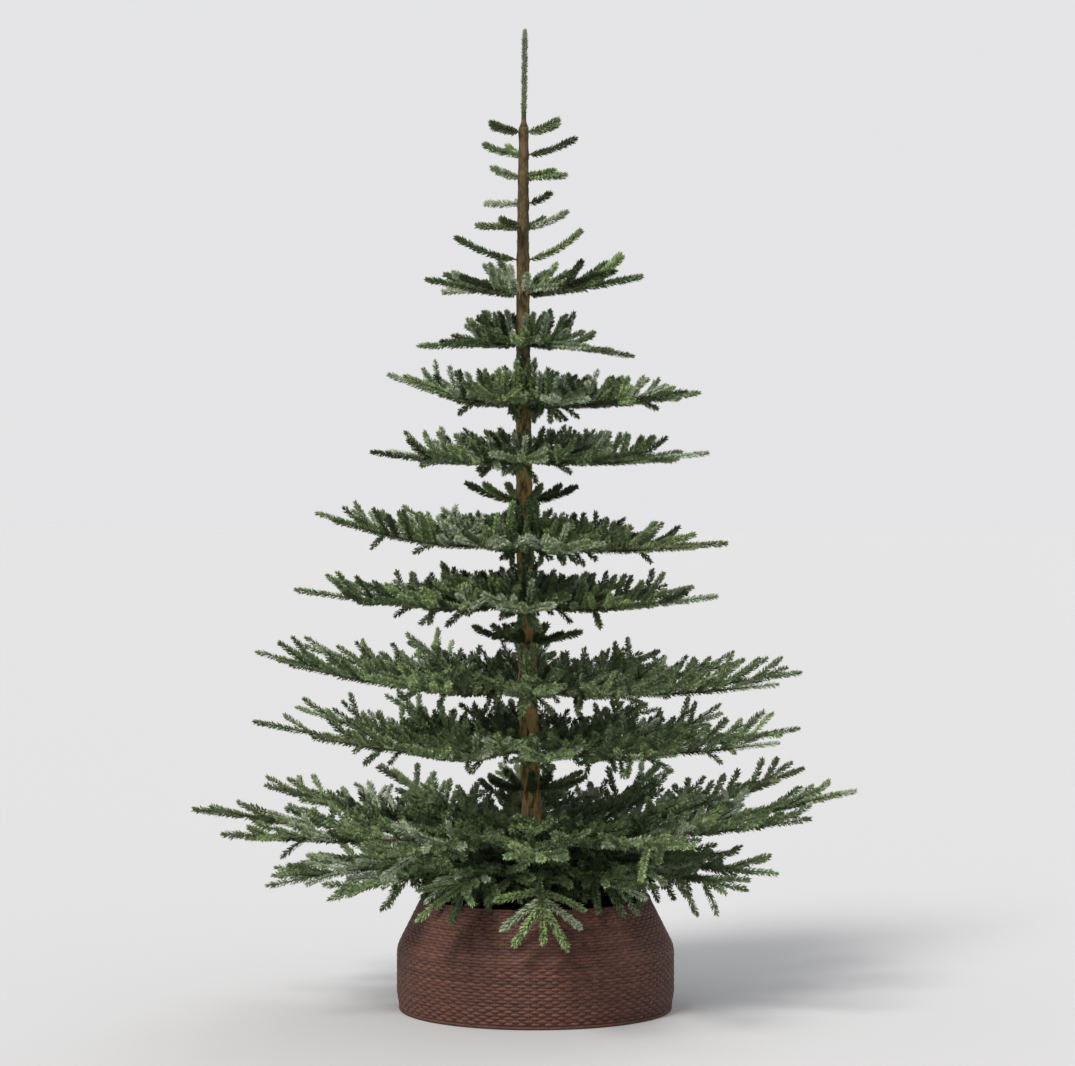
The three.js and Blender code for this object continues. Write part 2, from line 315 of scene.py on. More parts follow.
@dataclass(frozen=True)
class NeedleFinish:
    """Satin moulded needles in one green, a little uneven from place to place."""

    name: str
    colour: Colour
    roughness: float = 0.55
    unevenness: float = 0.2

    def make(self) -> Material:
        """Builds the finish's nodes.

        Returns:
            The material.
        """
        sheet = NodeSheet(self.name)
        patch = sheet.noise(sheet.place(), scale=60.0)
        tones = 1 - self.unevenness, 1 + self.unevenness
        dull, bright = (tuple(part * tone for part in self.colour) for tone in tones)
        tone = sheet.blend(sheet.between(patch, 0.35, 0.65), dull, bright)
        return sheet.surface(tone, self.roughness - 0.06 + 0.12 * patch, 0.4)


@dataclass(frozen=True)
class TwigFinish:
    """Dull twigs with a finely scored skin."""

    name: str = "twig_skin"
    dark: Colour = linear(40, 36, 24)
    light: Colour = linear(82, 72, 48)

    def make(self) -> Material:
        """Builds the finish's nodes.

        Returns:
            The material.
        """
        sheet = NodeSheet(self.name)
        place = sheet.place()
        coarse, fine = sheet.noise(place, scale=70.0, detail=3.0), sheet.noise(place, scale=420.0)
        tone = sheet.blend(sheet.between(coarse * 0.6 + fine * 0.4, 0.35, 0.66), self.dark, self.light)
        return sheet.surface(tone, 0.78 + 0.15 * fine, 0.25, Normal=sheet.bump(fine, 0.0006))


@dataclass(frozen=True)
class BarkFinish:
    """Moulded bark: long scales in tan and brown, with darker seams between them, and painted light that
    turns it pale low down, where the tiers shade the trunk.
    """

    name: str = "moulded_bark"
    seam: Colour = linear(48, 41, 24)
    brown: Colour = linear(60, 49, 29)
    tan: Colour = linear(87, 72, 45)
    # The pale tone is painted light on the lower trunk, which the tiers shade.
    pale: Colour = linear(162, 141, 86)
    scale_stretch: float = 0.28
    patch_stretch: float = 0.5
    pale_from: float = 1.8
    pale_below: float = 1.25

    def make(self) -> Material:
        """Builds the finish's nodes.

        Returns:
            The material.
        """
        sheet = NodeSheet(self.name)
        x, y, z = sheet.parts(sheet.place())
        stretched = sheet.vector(x, y, z * self.scale_stretch)
        scales = sheet.noise(stretched, scale=95.0, detail=4.0, roughness=0.6)
        fine = sheet.noise(stretched, scale=380.0, detail=3.0, roughness=0.6)
        patches = sheet.noise(sheet.vector(x, y, z * self.patch_stretch), scale=22.0)
        warm = sheet.blend(sheet.between(patches * 0.5 + fine * 0.5, 0.42, 0.6), self.brown, self.tan)
        # Painted light: the lower trunk, which the tiers shade, turns pale.
        painted_light_low = sheet.between(z, self.pale_from, self.pale_below)
        skin = sheet.blend(painted_light_low * 0.8, warm, self.pale)
        tone = sheet.blend(sheet.between(scales, 0.38, 0.54), self.seam, skin)
        relief = scales * 0.7 + fine * 0.3
        return sheet.surface(tone, 0.95 - 0.2 * scales, 0.3, Normal=sheet.bump(relief, 0.003))


@dataclass(frozen=True)
class WickerFinish:
    """Stained wicker in a red brown, with fine fibres that run round the ring."""

    name: str
    dark: Colour
    light: Colour
    stretch: float = 0.3

    def make(self) -> Material:
        """Builds the finish's nodes.

        Returns:
            The material.
        """
        sheet = NodeSheet(self.name)
        x, y, z = sheet.parts(sheet.place())
        turn = y.turn_from(x) * self.stretch
        fibres = sheet.noise(sheet.vector(turn * 1.2, z * 6.0, 0.0), scale=100.0, detail=3.0, roughness=0.65)
        patches = sheet.noise(sheet.vector(turn * 4.0, z * 8.0, 0.0), scale=12.0, detail=3.0)
        tone = sheet.blend(sheet.between(fibres * 0.5 + patches * 0.5, 0.36, 0.66), self.dark, self.light)
        return sheet.surface(tone, 0.5 + 0.25 * fibres, 0.4, Normal=sheet.bump(fibres, 0.0008))


@dataclass(frozen=True)
class PaintedSteelFinish:
    """Dark green paint on steel, with a slight orange peel and a few dull scuffs."""

    name: str = "painted_steel"
    paint: Colour = linear(34, 48, 40)
    scuff: Colour = linear(70, 80, 72)

    def make(self) -> Material:
        """Builds the finish's nodes.

        Returns:
            The material.
        """
        sheet = NodeSheet(self.name)
        place = sheet.place()
        peel = sheet.noise(place, scale=700.0, detail=1.0)
        scuffs = sheet.between(sheet.noise(place, scale=45.0, detail=5.0, roughness=0.7), 0.62, 0.7)
        tone = sheet.blend(scuffs * 0.5, self.paint, self.scuff)
        return sheet.surface(
            tone, 0.36 + 0.3 * scuffs, 0.5, Normal=sheet.bump(peel, 0.0002), Coat_Weight=0.2,
            Coat_Roughness=0.25,
        )


@dataclass(frozen=True)
class FloorFinish:
    """A plain pale floor."""

    name: str = "pale_floor"
    colour: Colour = (0.381, 0.381, 0.388)

    def make(self) -> Material:
        """Returns the material."""
        return NodeSheet(self.name).surface(self.colour, 0.9, 0.1)


class Green(IntEnum):
    """The greens that sprays come in, in the order of the needle pieces' materials."""

    SHADED = 0
    DEEP = 1
    MIDDLE = 2
    SILVER = 3
    FRESH = 4


NEEDLE_FINISHES = {
    Green.SHADED: NeedleFinish("needles_shaded", linear(63, 76, 49)),
    Green.DEEP: NeedleFinish("needles_deep", linear(84, 101, 65)),
    Green.MIDDLE: NeedleFinish("needles_middle", linear(107, 124, 84)),
    Green.SILVER: NeedleFinish("needles_silver", linear(142, 154, 128), 0.6),
    Green.FRESH: NeedleFinish("needles_fresh", linear(126, 146, 97), 0.5),
}
TWIG_FINISHES = (TwigFinish(), TwigFinish("green_stems", linear(40, 48, 28), linear(84, 88, 54)))
WICKER_FINISHES = (
    WickerFinish("wicker_dark", linear(54, 30, 23), linear(84, 50, 38)),
    WickerFinish("wicker_red", linear(57, 32, 24), linear(92, 56, 43)),
    WickerFinish("wicker_light", linear(60, 35, 27), linear(99, 62, 48)),
)


# Meshes

class Mesher:
    """Gathers the points and triangles of one piece."""

    def __init__(self) -> None:
        """Starts empty."""
        self.points, self.faces, self.slots, self.count = [], [], [], 0

    def add(self, points: Array, faces: Array, slots: Slots = 0) -> None:
        """Adds points and the triangles on them.

        Args:
            points: One point in each row.
            faces: Three point numbers in each row, from 0 for the first of these points.
            slots: The material of each triangle, or one for all.
        """
        self.points.append(points)
        self.faces.append(faces + self.count)
        self.slots.append(np.broadcast_to(slots, (len(faces),)))
        self.count += len(points)

    def tube(self, rings: Array, ends: Array | None = None, slot: Slots = 0) -> None:
        """Adds a tube through rings of points.

        Args:
            rings: A grid: rings, then points round each ring, then x, y and z.
            ends: The middles of the first and last ring, which close the tube; without them
                the last ring joins the first.
            slot: The tube's material, or each triangle's.
        """
        rows, sides = rings.shape[:2]
        start = np.arange(rows if ends is None else rows - 1)
        here, following = start[:, None] * sides, ((start + 1) % rows)[:, None] * sides
        side = np.arange(sides)[None]
        beside = (side + 1) % sides
        low, low_beside, high_beside, high = here + side, here + beside, following + beside, following + side
        halves = (low, low_beside, high_beside), (low, high_beside, high)
        faces = [np.stack(corners, axis=-1).reshape(-1, 3) for corners in halves]
        points = rings.reshape(-1, 3)
        if ends is not None:
            side, beside, last = side[0], beside[0], (rows - 1) * sides
            middle = np.full(sides, rows * sides)
            faces.append(np.stack([middle, beside, side], axis=-1))
            faces.append(np.stack([middle + 1, last + side, last + beside], axis=-1))
            points = np.concatenate([points, ends])
        self.add(points, np.concatenate(faces), slot)

    def sweep(
        self, path: Array, first: Array, second: Array, sides: int, closed: bool = False, slot: Slots = 0,
    ) -> None:
        """Adds a tube along a path.

        Args:
            path: The middle of the tube at each ring.
            first: Half the tube's thickness one way at each ring, as a vector.
            second: Half its thickness the other way; first x second points along the path.
            sides: How many sides the tube has.
            closed: Whether the last ring joins the first; otherwise both ends are capped.
            slot: The tube's material, or each triangle's.
        """
        rings = path[:, None] + turned(circle(sides), first[:, None], second[:, None])
        self.tube(rings, None if closed else path[[0, -1]], slot)

    def piece(self, name: str, materials: list[Material], slot: str, smooth: bool = True) -> bpy.types.Object:
        """Makes the object and rides it on the body.

        Args:
            name: The piece's name.
            materials: Its materials, in the order of its triangles' numbers for them.
            slot: The record's material slot; not used.
            smooth: Whether the shading is smooth.

        Returns:
            The object.
        """
        points, faces = np.concatenate(self.points) * MM, np.concatenate(self.faces)
        mesh = bpy.data.meshes.new(name)
        mesh.from_pydata(points, [], faces, shade_flat=not smooth)
        for material in materials:
            mesh.materials.append(material)
        mesh.polygons.foreach_set("material_index", np.concatenate(self.slots).astype(np.int32))
        mesh.validate()
        made = placed(name, mesh)
        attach(made, BODY)
        log.info("%s: %d triangles", name, len(faces))
        return made


@dataclass(frozen=True)
class Grain:
    """Smooth seeded noise on a cylinder, which repeats round it."""

    seed: int
    columns: int
    rows: int

    def at(self, turn: Array, along: Array) -> Array:
        """Samples the noise.

        Args:
            turn: Place round the cylinder, 0 to 1.
            along: Place along it, 0 to 1.

        Returns:
            Numbers from 0 to 1.
        """
        lattice = np.random.default_rng(self.seed).random((self.rows + 2, self.columns))
        u, v = turn * self.columns, np.clip(along, 0.0, 1.0) * self.rows
        column_at, row = np.floor(u).astype(int), np.floor(v).astype(int)
        across_cell, up = smooth_step(u - column_at), smooth_step(v - row)
        left, right = column_at % self.columns, (column_at + 1) % self.columns
        low = mix(lattice[row, left], lattice[row, right], across_cell)
        high = mix(lattice[row + 1, left], lattice[row + 1, right], across_cell)
        return mix(low, high, up)


# The tree's lines, as the frame has them

@dataclass(frozen=True)
class Quarters:
    """A size given to the right, back, left and front of the tree."""

    right: float
    back: float
    left: float
    front: float

    def at(self, angle: float) -> float:
        """Eases the size round the tree.

        Args:
            angle: A direction from the trunk, in radians.

        Returns:
            The size there.
        """
        mean = (self.right + self.back + self.left + self.front) / 4
        sideways = (self.right - self.left) / 2 * math.cos(angle)
        in_depth = (self.back - self.front) / 2 * math.sin(angle)
        oval = (self.right + self.left - self.back - self.front) / 4 * math.cos(2 * angle)
        return mean + sideways + in_depth + oval


@dataclass(frozen=True)
class TrunkLine:
    """The trunk's taper and its lean to the left, with the stem on top."""

    foot: float = 8.35
    top: float = 2056.0
    base_radius: float = 24.0
    top_radius: float = 11.0
    taper_power: float = 2.1
    lean: float = 29.0
    lean_start: float = 180.0
    lean_height: float = 1700.0
    stem_foot: float = 2072.0
    stem_tip: float = 2282.0

    def offset(self, height: Array | float) -> Array:
        """Returns how far to the right the trunk's middle is at a height."""
        share = np.maximum(np.asarray(height) - self.lean_start, 0) / (self.lean_height - self.lean_start)
        return -self.lean * (1 - (1 - share) ** 2)

    def radius(self, height: Array | float) -> Array:
        """Returns the trunk's radius at a height."""
        share = np.minimum(np.asarray(height) / self.top, 1.0) ** self.taper_power
        return mix(self.base_radius, self.top_radius, share)

    def root(self, height: float, sunk: float) -> float:
        """Returns the distance from the middle at which a shoot that is sunk so deep in the bark starts."""
        return float(self.radius(height)) - sunk


TRUNK_LINE = TrunkLine()


class Vigour(Enum):
    """How strongly something grows."""

    SLIGHT = auto()
    LIGHT = auto()
    MIDDLE = auto()
    STRONG = auto()
    BOUGH = auto()
    LOWEST = auto()
    HANGING = auto()
    RING = auto()


@dataclass(frozen=True)
class Hanging:
    """Where a tier hangs down over the collar, and how far."""

    azimuth: float
    drop: float
    width: float


@dataclass(frozen=True)
class Tier:
    """A level ring of fronds, cut into masses in the frame."""

    number: int
    height: float
    masses: int
    fronds: int
    turn: float
    reach: Quarters
    lift: Quarters
    vigour: Vigour
    hanging: Hanging | None = None
    between: float = 0.0
    between_front: float = 0.0
    upright: int = 0
    sag: float = 20.0
    ripple: float = 0.06
    lift_power: float = 1.6
    droop_power: float = 3.0
    sag_power: float = 0.8

    @property
    def count(self) -> int:
        """Returns how many fronds the tier has."""
        return self.masses * self.fronds

    def azimuth(self, index: float) -> float:
        """Returns where a frond points, in radians."""
        return math.radians(self.turn + 360 * index / self.count)

    def nodes(self, masses: range | None = None) -> list[str]:
        """Returns the names of all the tier's masses, or of some."""
        return [f"tier_{self.number:02d}_mass_{mass + 1}" for mass in masses or range(self.masses)]

    def frond_reach(self, angle: float) -> float:
        """Returns the full length of a frond at an angle in radians."""
        uneven = math.sin(angle) * math.sin(5 * angle + self.height)
        return self.reach.at(angle) * (1 + self.ripple * uneven)

    def frond_lift(self, angle: float) -> float:
        """Works out how far a frond's tip is above its root.

        Args:
            angle: Where it points, in radians.

        Returns:
            The height of the tip over the root.
        """
        lift = self.lift.at(angle)
        if self.hanging:
            turn = angle - math.radians(self.hanging.azimuth)
            away = math.atan2(math.sin(turn), math.cos(turn)) / math.radians(self.hanging.width)
            lift -= self.hanging.drop * math.exp(-away * away)
        return lift

    def points(self, angle: float, radii: Array, sway: float = 0.0) -> Array:
        """Works out the middle line of a frond.

        Args:
            angle: Where it points, in radians.
            radii: Distances from the trunk's middle.
            sway: How far its tip turns to the side, in radians.

        Returns:
            One point for each distance.
        """
        lift = self.frond_lift(angle)
        share = radii / self.frond_reach(angle)
        height = self.height + lift * share ** (self.droop_power if lift < 0 else self.lift_power)
        height = height - self.sag * np.sin(np.pi * np.minimum(share, 1.0) ** self.sag_power)
        bent = angle + sway * share ** 2
        sideways = radii * np.cos(bent) + TRUNK_LINE.offset(height)
        return np.stack([sideways, radii * np.sin(bent), height], axis=-1)


@dataclass(frozen=True)
class Whorl:
    """A small ring of single shoots."""

    number: int
    order: int
    height: float
    shoots: int
    reach: Span
    lift: Span
    missing: tuple[int, ...] = ()
    pale: float = 0.1
    tufted: bool = False
    turn: float = 0.4

    @property
    def node(self) -> str:
        """Returns the name of the node that the shoots stand for."""
        return f"whorl_{self.number:02d}"

    def shoot(self, index: int) -> tuple[float, float, float]:
        """Works out one shoot.

        Args:
            index: Which shoot.

        Returns:
            Its direction in radians, its reach and its lift.
        """
        angle = FULL_TURN * (index + 0.5) / self.shoots + self.turn * self.order
        share = (1 + math.cos(angle)) / 2
        return angle, mix(*self.reach, share), mix(*self.lift, share)


TIERS = {tier.number: tier for tier in (
    Tier(7, 1668, 2, 4, 3, Quarters(280, 240, 229, 225), Quarters(42, 45, 34, 34), Vigour.SLIGHT, sag=0),
    Tier(8, 1556, 2, 4, -6, Quarters(262, 255, 247, 245), Quarters(-34, 14, -9, 0), Vigour.LIGHT, sag=6),
    Tier(
        9, 1423, 3, 3, 11, Quarters(437, 375, 326, 365), Quarters(18, 30, 60, 20), Vigour.MIDDLE,
        between_front=0.62, upright=2, sag=17,
    ),
    Tier(10, 1295, 3, 3, -11, Quarters(440, 395, 358, 385), Quarters(4, 10, 6, 2), Vigour.MIDDLE),
    Tier(
        12, 1098, 3, 3, 9, Quarters(484, 475, 505, 455), Quarters(-14, 32, 58, 12), Vigour.MIDDLE,
        between_front=0.6, upright=4, sag=24,
    ),
    Tier(
        13, 960, 3, 3, -9, Quarters(446, 480, 552, 475), Quarters(8, 34, 27, 4), Vigour.MIDDLE,
        upright=6, sag=22,
    ),
    Tier(
        15, 768, 4, 3, 0, Quarters(646, 610, 637, 600), Quarters(16, 52, 66, 22), Vigour.STRONG,
        upright=5, sag=26,
    ),
    Tier(16, 630, 4, 3, 5, Quarters(634, 605, 640, 600), Quarters(22, 50, 48, 12), Vigour.STRONG, sag=28),
    Tier(18, 420, 4, 3, 0, Quarters(764, 735, 789, 715), Quarters(90, 84, 50, 14), Vigour.BOUGH, sag=16),
    Tier(
        19, 340, 4, 3, 3, Quarters(570, 560, 627, 440), Quarters(-30, -18, -46, -42), Vigour.LOWEST,
        Hanging(-87, 62, 15), between=0.7, between_front=0.7, sag=0,
    ),
)}
WHORLS = {whorl.number: whorl for whorl in (
    Whorl(1, 0, 2044, 6, (92, 97), (18, 25), (4,), 0.4),
    Whorl(2, 1, 1991, 6, (98, 126), (26, 37), (0, 3, 4), 0.4),
    Whorl(3, 2, 1941, 6, (80, 107), (19, 5), (3,), 1.2),
    Whorl(4, 3, 1878, 6, (98, 72), (2, 23), (2, 3, 5), 0.4),
    Whorl(5, 4, 1824, 6, (112, 107), (3, 35), (3,), 0.4),
    Whorl(6, 5, 1747, 8, (161, 140), (52, 68), (0, 2, 3, 4, 6), 0.3),
    Whorl(11, 6, 1185, 6, (143, 128), (42, 35)),
    Whorl(14, 7, 859, 6, (129, 132), (34, 20), tufted=True),
    Whorl(17, 8, 513, 6, (110, 150), (24, 33), tufted=True),
)}


# Growth

@dataclass(slots=True)
class Shoot:
    """A brush of needles on a stem whose middle line is start + run t + bend t t, t from 0 to 1."""

    start: Array
    run: Array
    bend: Array
    green: Green
    radius: float = 2.5
    bare: float = 0.0
    stem: bool = True
    tip: bool = True
    needle: float = 11.5
    density: float = 1.8


@dataclass(slots=True)
class Limb:
    """A bare stem through given points, with a radius at each."""

    points: Array
    radii: Array
    sides: int
    skin: int = 0


@dataclass
class Growth:
    """Shoots and limbs, and the meshes that they turn into."""

    shoots: list[Shoot] = field(default_factory=list)
    limbs: list[Limb] = field(default_factory=list)
    needle_width: float = 0.33
    needle_fold: float = 0.05
    needle_sizes: Span = (0.85, 1.1)
    fewest_needles: int = 4
    widest: float = 0.5
    lean: Span = (50.0, 8.0)
    lean_spread: float = 6.0
    turn_spread: float = 0.3
    upward: float = 0.12
    roll: float = 0.65
    dome: float = 0.1
    crowding: float = 1.25
    short_start: float = 0.12
    stem_sides: int = 3

    def take(self, other: "Growth") -> None:
        """Adds all that another growth has."""
        self.shoots += other.shoots
        self.limbs += other.limbs

    def needles(self, mesher: Mesher, seed: int) -> None:
        """Adds every shoot's needles, each a folded kite of two triangles.

        Args:
            mesher: Takes the triangles.
            seed: Starts the draws.
        """
        rng = np.random.default_rng(seed)
        start, run, bend, bare, density, needle, tip, green = (column(self.shoots, name) for name in (
            "start", "run", "bend", "bare", "density", "needle", "tip", "green",
        ))
        length = np.linalg.norm(run + bend, axis=1)
        count = np.maximum(np.round(length * (1 - bare) * density).astype(int), self.fewest_needles)
        which = np.repeat(np.arange(len(count)), count)
        total = len(which)
        order = np.arange(total) - np.repeat(np.cumsum(count) - count, count)
        free = tip.astype(float)[which]
        share = (order + rng.random(total)) / count[which]
        share = mix(share, 1 - (1 - share) ** self.crowding, free)
        t = (bare[which] + (1 - bare[which]) * share)[:, None]
        at = start[which] + run[which] * t + bend[which] * t * t
        along = unit(run[which] + 2 * bend[which] * t)
        phase = rng.uniform(0, FULL_TURN, len(count))[which]
        out = turned(order * GOLDEN_ANGLE + phase + rng.normal(0, self.turn_spread, total), *across(along))
        out = unit(out + self.upward * (UP - along * along[:, 2:]))
        ending = smooth_step((share - 1 + self.dome) / self.dome * 1.5) * free
        at_end = mix(*self.lean[::-1], rng.random(total))
        lean = mix(self.lean[0], at_end, ending) + rng.normal(0, self.lean_spread, total)
        points_to = turned(np.radians(lean), along, out)
        size = needle[which] * (1 - 0.3 * free * (1 - smooth_step(share / self.short_start)))
        size = (size * (1 - 0.12 * ending) * rng.uniform(*self.needle_sizes, total))[:, None]
        flat = unit(np.cross(points_to, out))
        face = np.cross(flat, points_to)
        roll = rng.normal(0, self.roll, total)
        flat, face = turned(roll, flat, face), turned(roll, face, -flat)
        middle = at + points_to * size * self.widest
        half = flat * (size * self.needle_width / 2)
        fold = face * size * self.needle_fold
        points = np.stack([at, middle + half + fold, at + points_to * size, middle - half + fold], 1)
        first = 4 * np.arange(total)[:, None]
        faces = np.concatenate([first + (0, 1, 2), first + (0, 2, 3)], axis=1).reshape(-1, 3)
        mesher.add(points.reshape(-1, 3), faces, np.repeat(green[which], 2))

    def twigs(self, mesher: Mesher) -> None:
        """Adds every shoot's stem, which narrows to a point, and every limb.

        Args:
            mesher: Takes the triangles.
        """
        shoots = [shoot for shoot in self.shoots if shoot.stem]
        start, run, bend, radius = (column(shoots, name) for name in ("start", "run", "bend", "radius"))
        over, beside = across(unit(run + bend))
        rings, pattern, sides = [], [], self.stem_sides
        for t, thinner in ((0.0, 1.0), (0.5, 0.75)):
            middle = start + run * t + bend * t * t
            for turn in circle(sides):
                spoke = math.cos(turn) * over + math.sin(turn) * beside
                rings.append(middle + radius[:, None] * thinner * spoke)
        points = np.stack([*rings, start + run + bend], axis=1)
        for side, following in ((side, (side + 1) % sides) for side in range(sides)):
            high, high_beside, tip = sides + side, sides + following, 2 * sides
            pattern += [(side, following, high_beside), (side, high_beside, high), (high, high_beside, tip)]
        first = points.shape[1] * np.arange(len(shoots))[:, None, None]
        mesher.add(points.reshape(-1, 3), (first + np.array(pattern)[None]).reshape(-1, 3), 1)
        for limb in self.limbs:
            over, beside = across(unit(np.gradient(limb.points, axis=0)))
            thick = limb.radii[:, None]
            mesher.sweep(limb.points, over * thick, beside * thick, limb.sides, slot=limb.skin)


@dataclass(frozen=True)
class Habit:
    """How a frond or a ring grows and branches."""

    bare: float
    spacing: Span
    finger: Span
    terminal: Span
    limb_radius: Span
    needle: float = 12.0
    density: float = 1.9
    limb_density: float = 0.9
    stub: float = 8.0
    crowned: bool = True
    top_chance: float = 0.8
    top_reach: Span = (0.65, 0.9)
    top_rise: Span = (42.0, 66.0)
    top_turn: Span = (10.0, 30.0)
    unders: int = 1
    under_chance: float = 0.25
    under_reach: Span = (0.45, 0.8)
    under_rise: Span = (-36.0, -16.0)
    under_turn: Span = (15.0, 50.0)
    rising: float = 0.8
    level: float = 0.2
    rise: Span = (18.0, 56.0)
    rise_at_tip: float = 0.7
    level_rise: Span = (-3.0, 17.0)
    hang: Span = (-14.0, -4.0)
    forward: Span = (52.0, 27.0)
    finger_chance: float = 0.94
    finger_reach: Span = (0.85, 1.12)
    upright_reach: Span = (88.0, 122.0)
    upright_rise: Span = (60.0, 80.0)
    upright_turn: Span = (10.0, 60.0)
    branch_least: float = 110.0
    branch_most: float = 235.0
    branch_share: float = 0.42
    branch_reach: Span = (0.9, 1.1)
    branch_turn: Span = (50.0, 5.0)
    branch_rise: Span = (4.0, 17.0)
    branch_end: Span = (68.0, 88.0)
    twig_chance: float = 0.93
    twig_reach: Span = (50.0, 74.0)
    twig_turn: Span = (42.0, 6.0)


HABITS = {
    Vigour.SLIGHT: Habit(
        14, (80, 98), (100, 126), (118, 140), (3.0, 1.7), needle=14.5, density=2.3, crowned=False,
        top_chance=0.0, under_chance=0.0, rising=0.75, level=0.25, rise=(6.0, 34.0), forward=(40.0, 24.0),
    ),
    Vigour.LIGHT: Habit(
        12, (34, 42), (78, 102), (140, 165), (3.2, 1.8), needle=13.0, density=2.1, top_chance=1.4,
        top_reach=(0.9, 1.15), top_rise=(50.0, 70.0), under_chance=0.2, rising=0.75, level=0.25,
        rise=(16.0, 56.0), rise_at_tip=0.4, forward=(54.0, 30.0),
    ),
    Vigour.MIDDLE: Habit(
        18, (29, 35), (74, 98), (125, 165), (3.4, 1.7), needle=12.8, density=1.77, top_chance=1.4,
        top_reach=(0.9, 1.2), top_rise=(48.0, 70.0), under_chance=0.3, rise=(18.0, 58.0), rise_at_tip=0.42,
    ),
    Vigour.STRONG: Habit(
        26, (36, 43), (66, 98), (120, 150), (4.0, 1.9), needle=12.5, density=1.42, top_chance=1.1,
        top_reach=(0.75, 1.0), under_chance=0.35, rise=(18.0, 52.0), rise_at_tip=0.45,
    ),
    Vigour.BOUGH: Habit(
        50, (36, 43), (66, 110), (110, 140), (6.2, 2.1), needle=14.0, density=1.3, limb_density=1.3,
        top_chance=0.6, under_chance=0.3, rising=0.6, level=0.34, rise=(10.0, 38.0), rise_at_tip=0.4,
        hang=(-26.0, -8.0),
    ),
    Vigour.LOWEST: Habit(
        50, (33, 40), (72, 116), (100, 130), (6.2, 2.1), needle=14.0, density=1.2, limb_density=1.3,
        top_chance=0.3, unders=2, under_chance=0.9, under_reach=(0.55, 0.9), under_rise=(-62.0, -36.0),
        rising=0.34, level=0.3, rise=(6.0, 30.0), hang=(-42.0, -12.0),
    ),
    Vigour.HANGING: Habit(
        120, (36, 40), (100, 112), (90, 100), (6.0, 2.4), needle=14.5, density=2.5, limb_density=0.72,
        stub=9.0,
    ),
    Vigour.RING: Habit(6, (40, 40), (40, 60), (90, 110), (2.8, 1.5), needle=15.0, density=2.4),
}


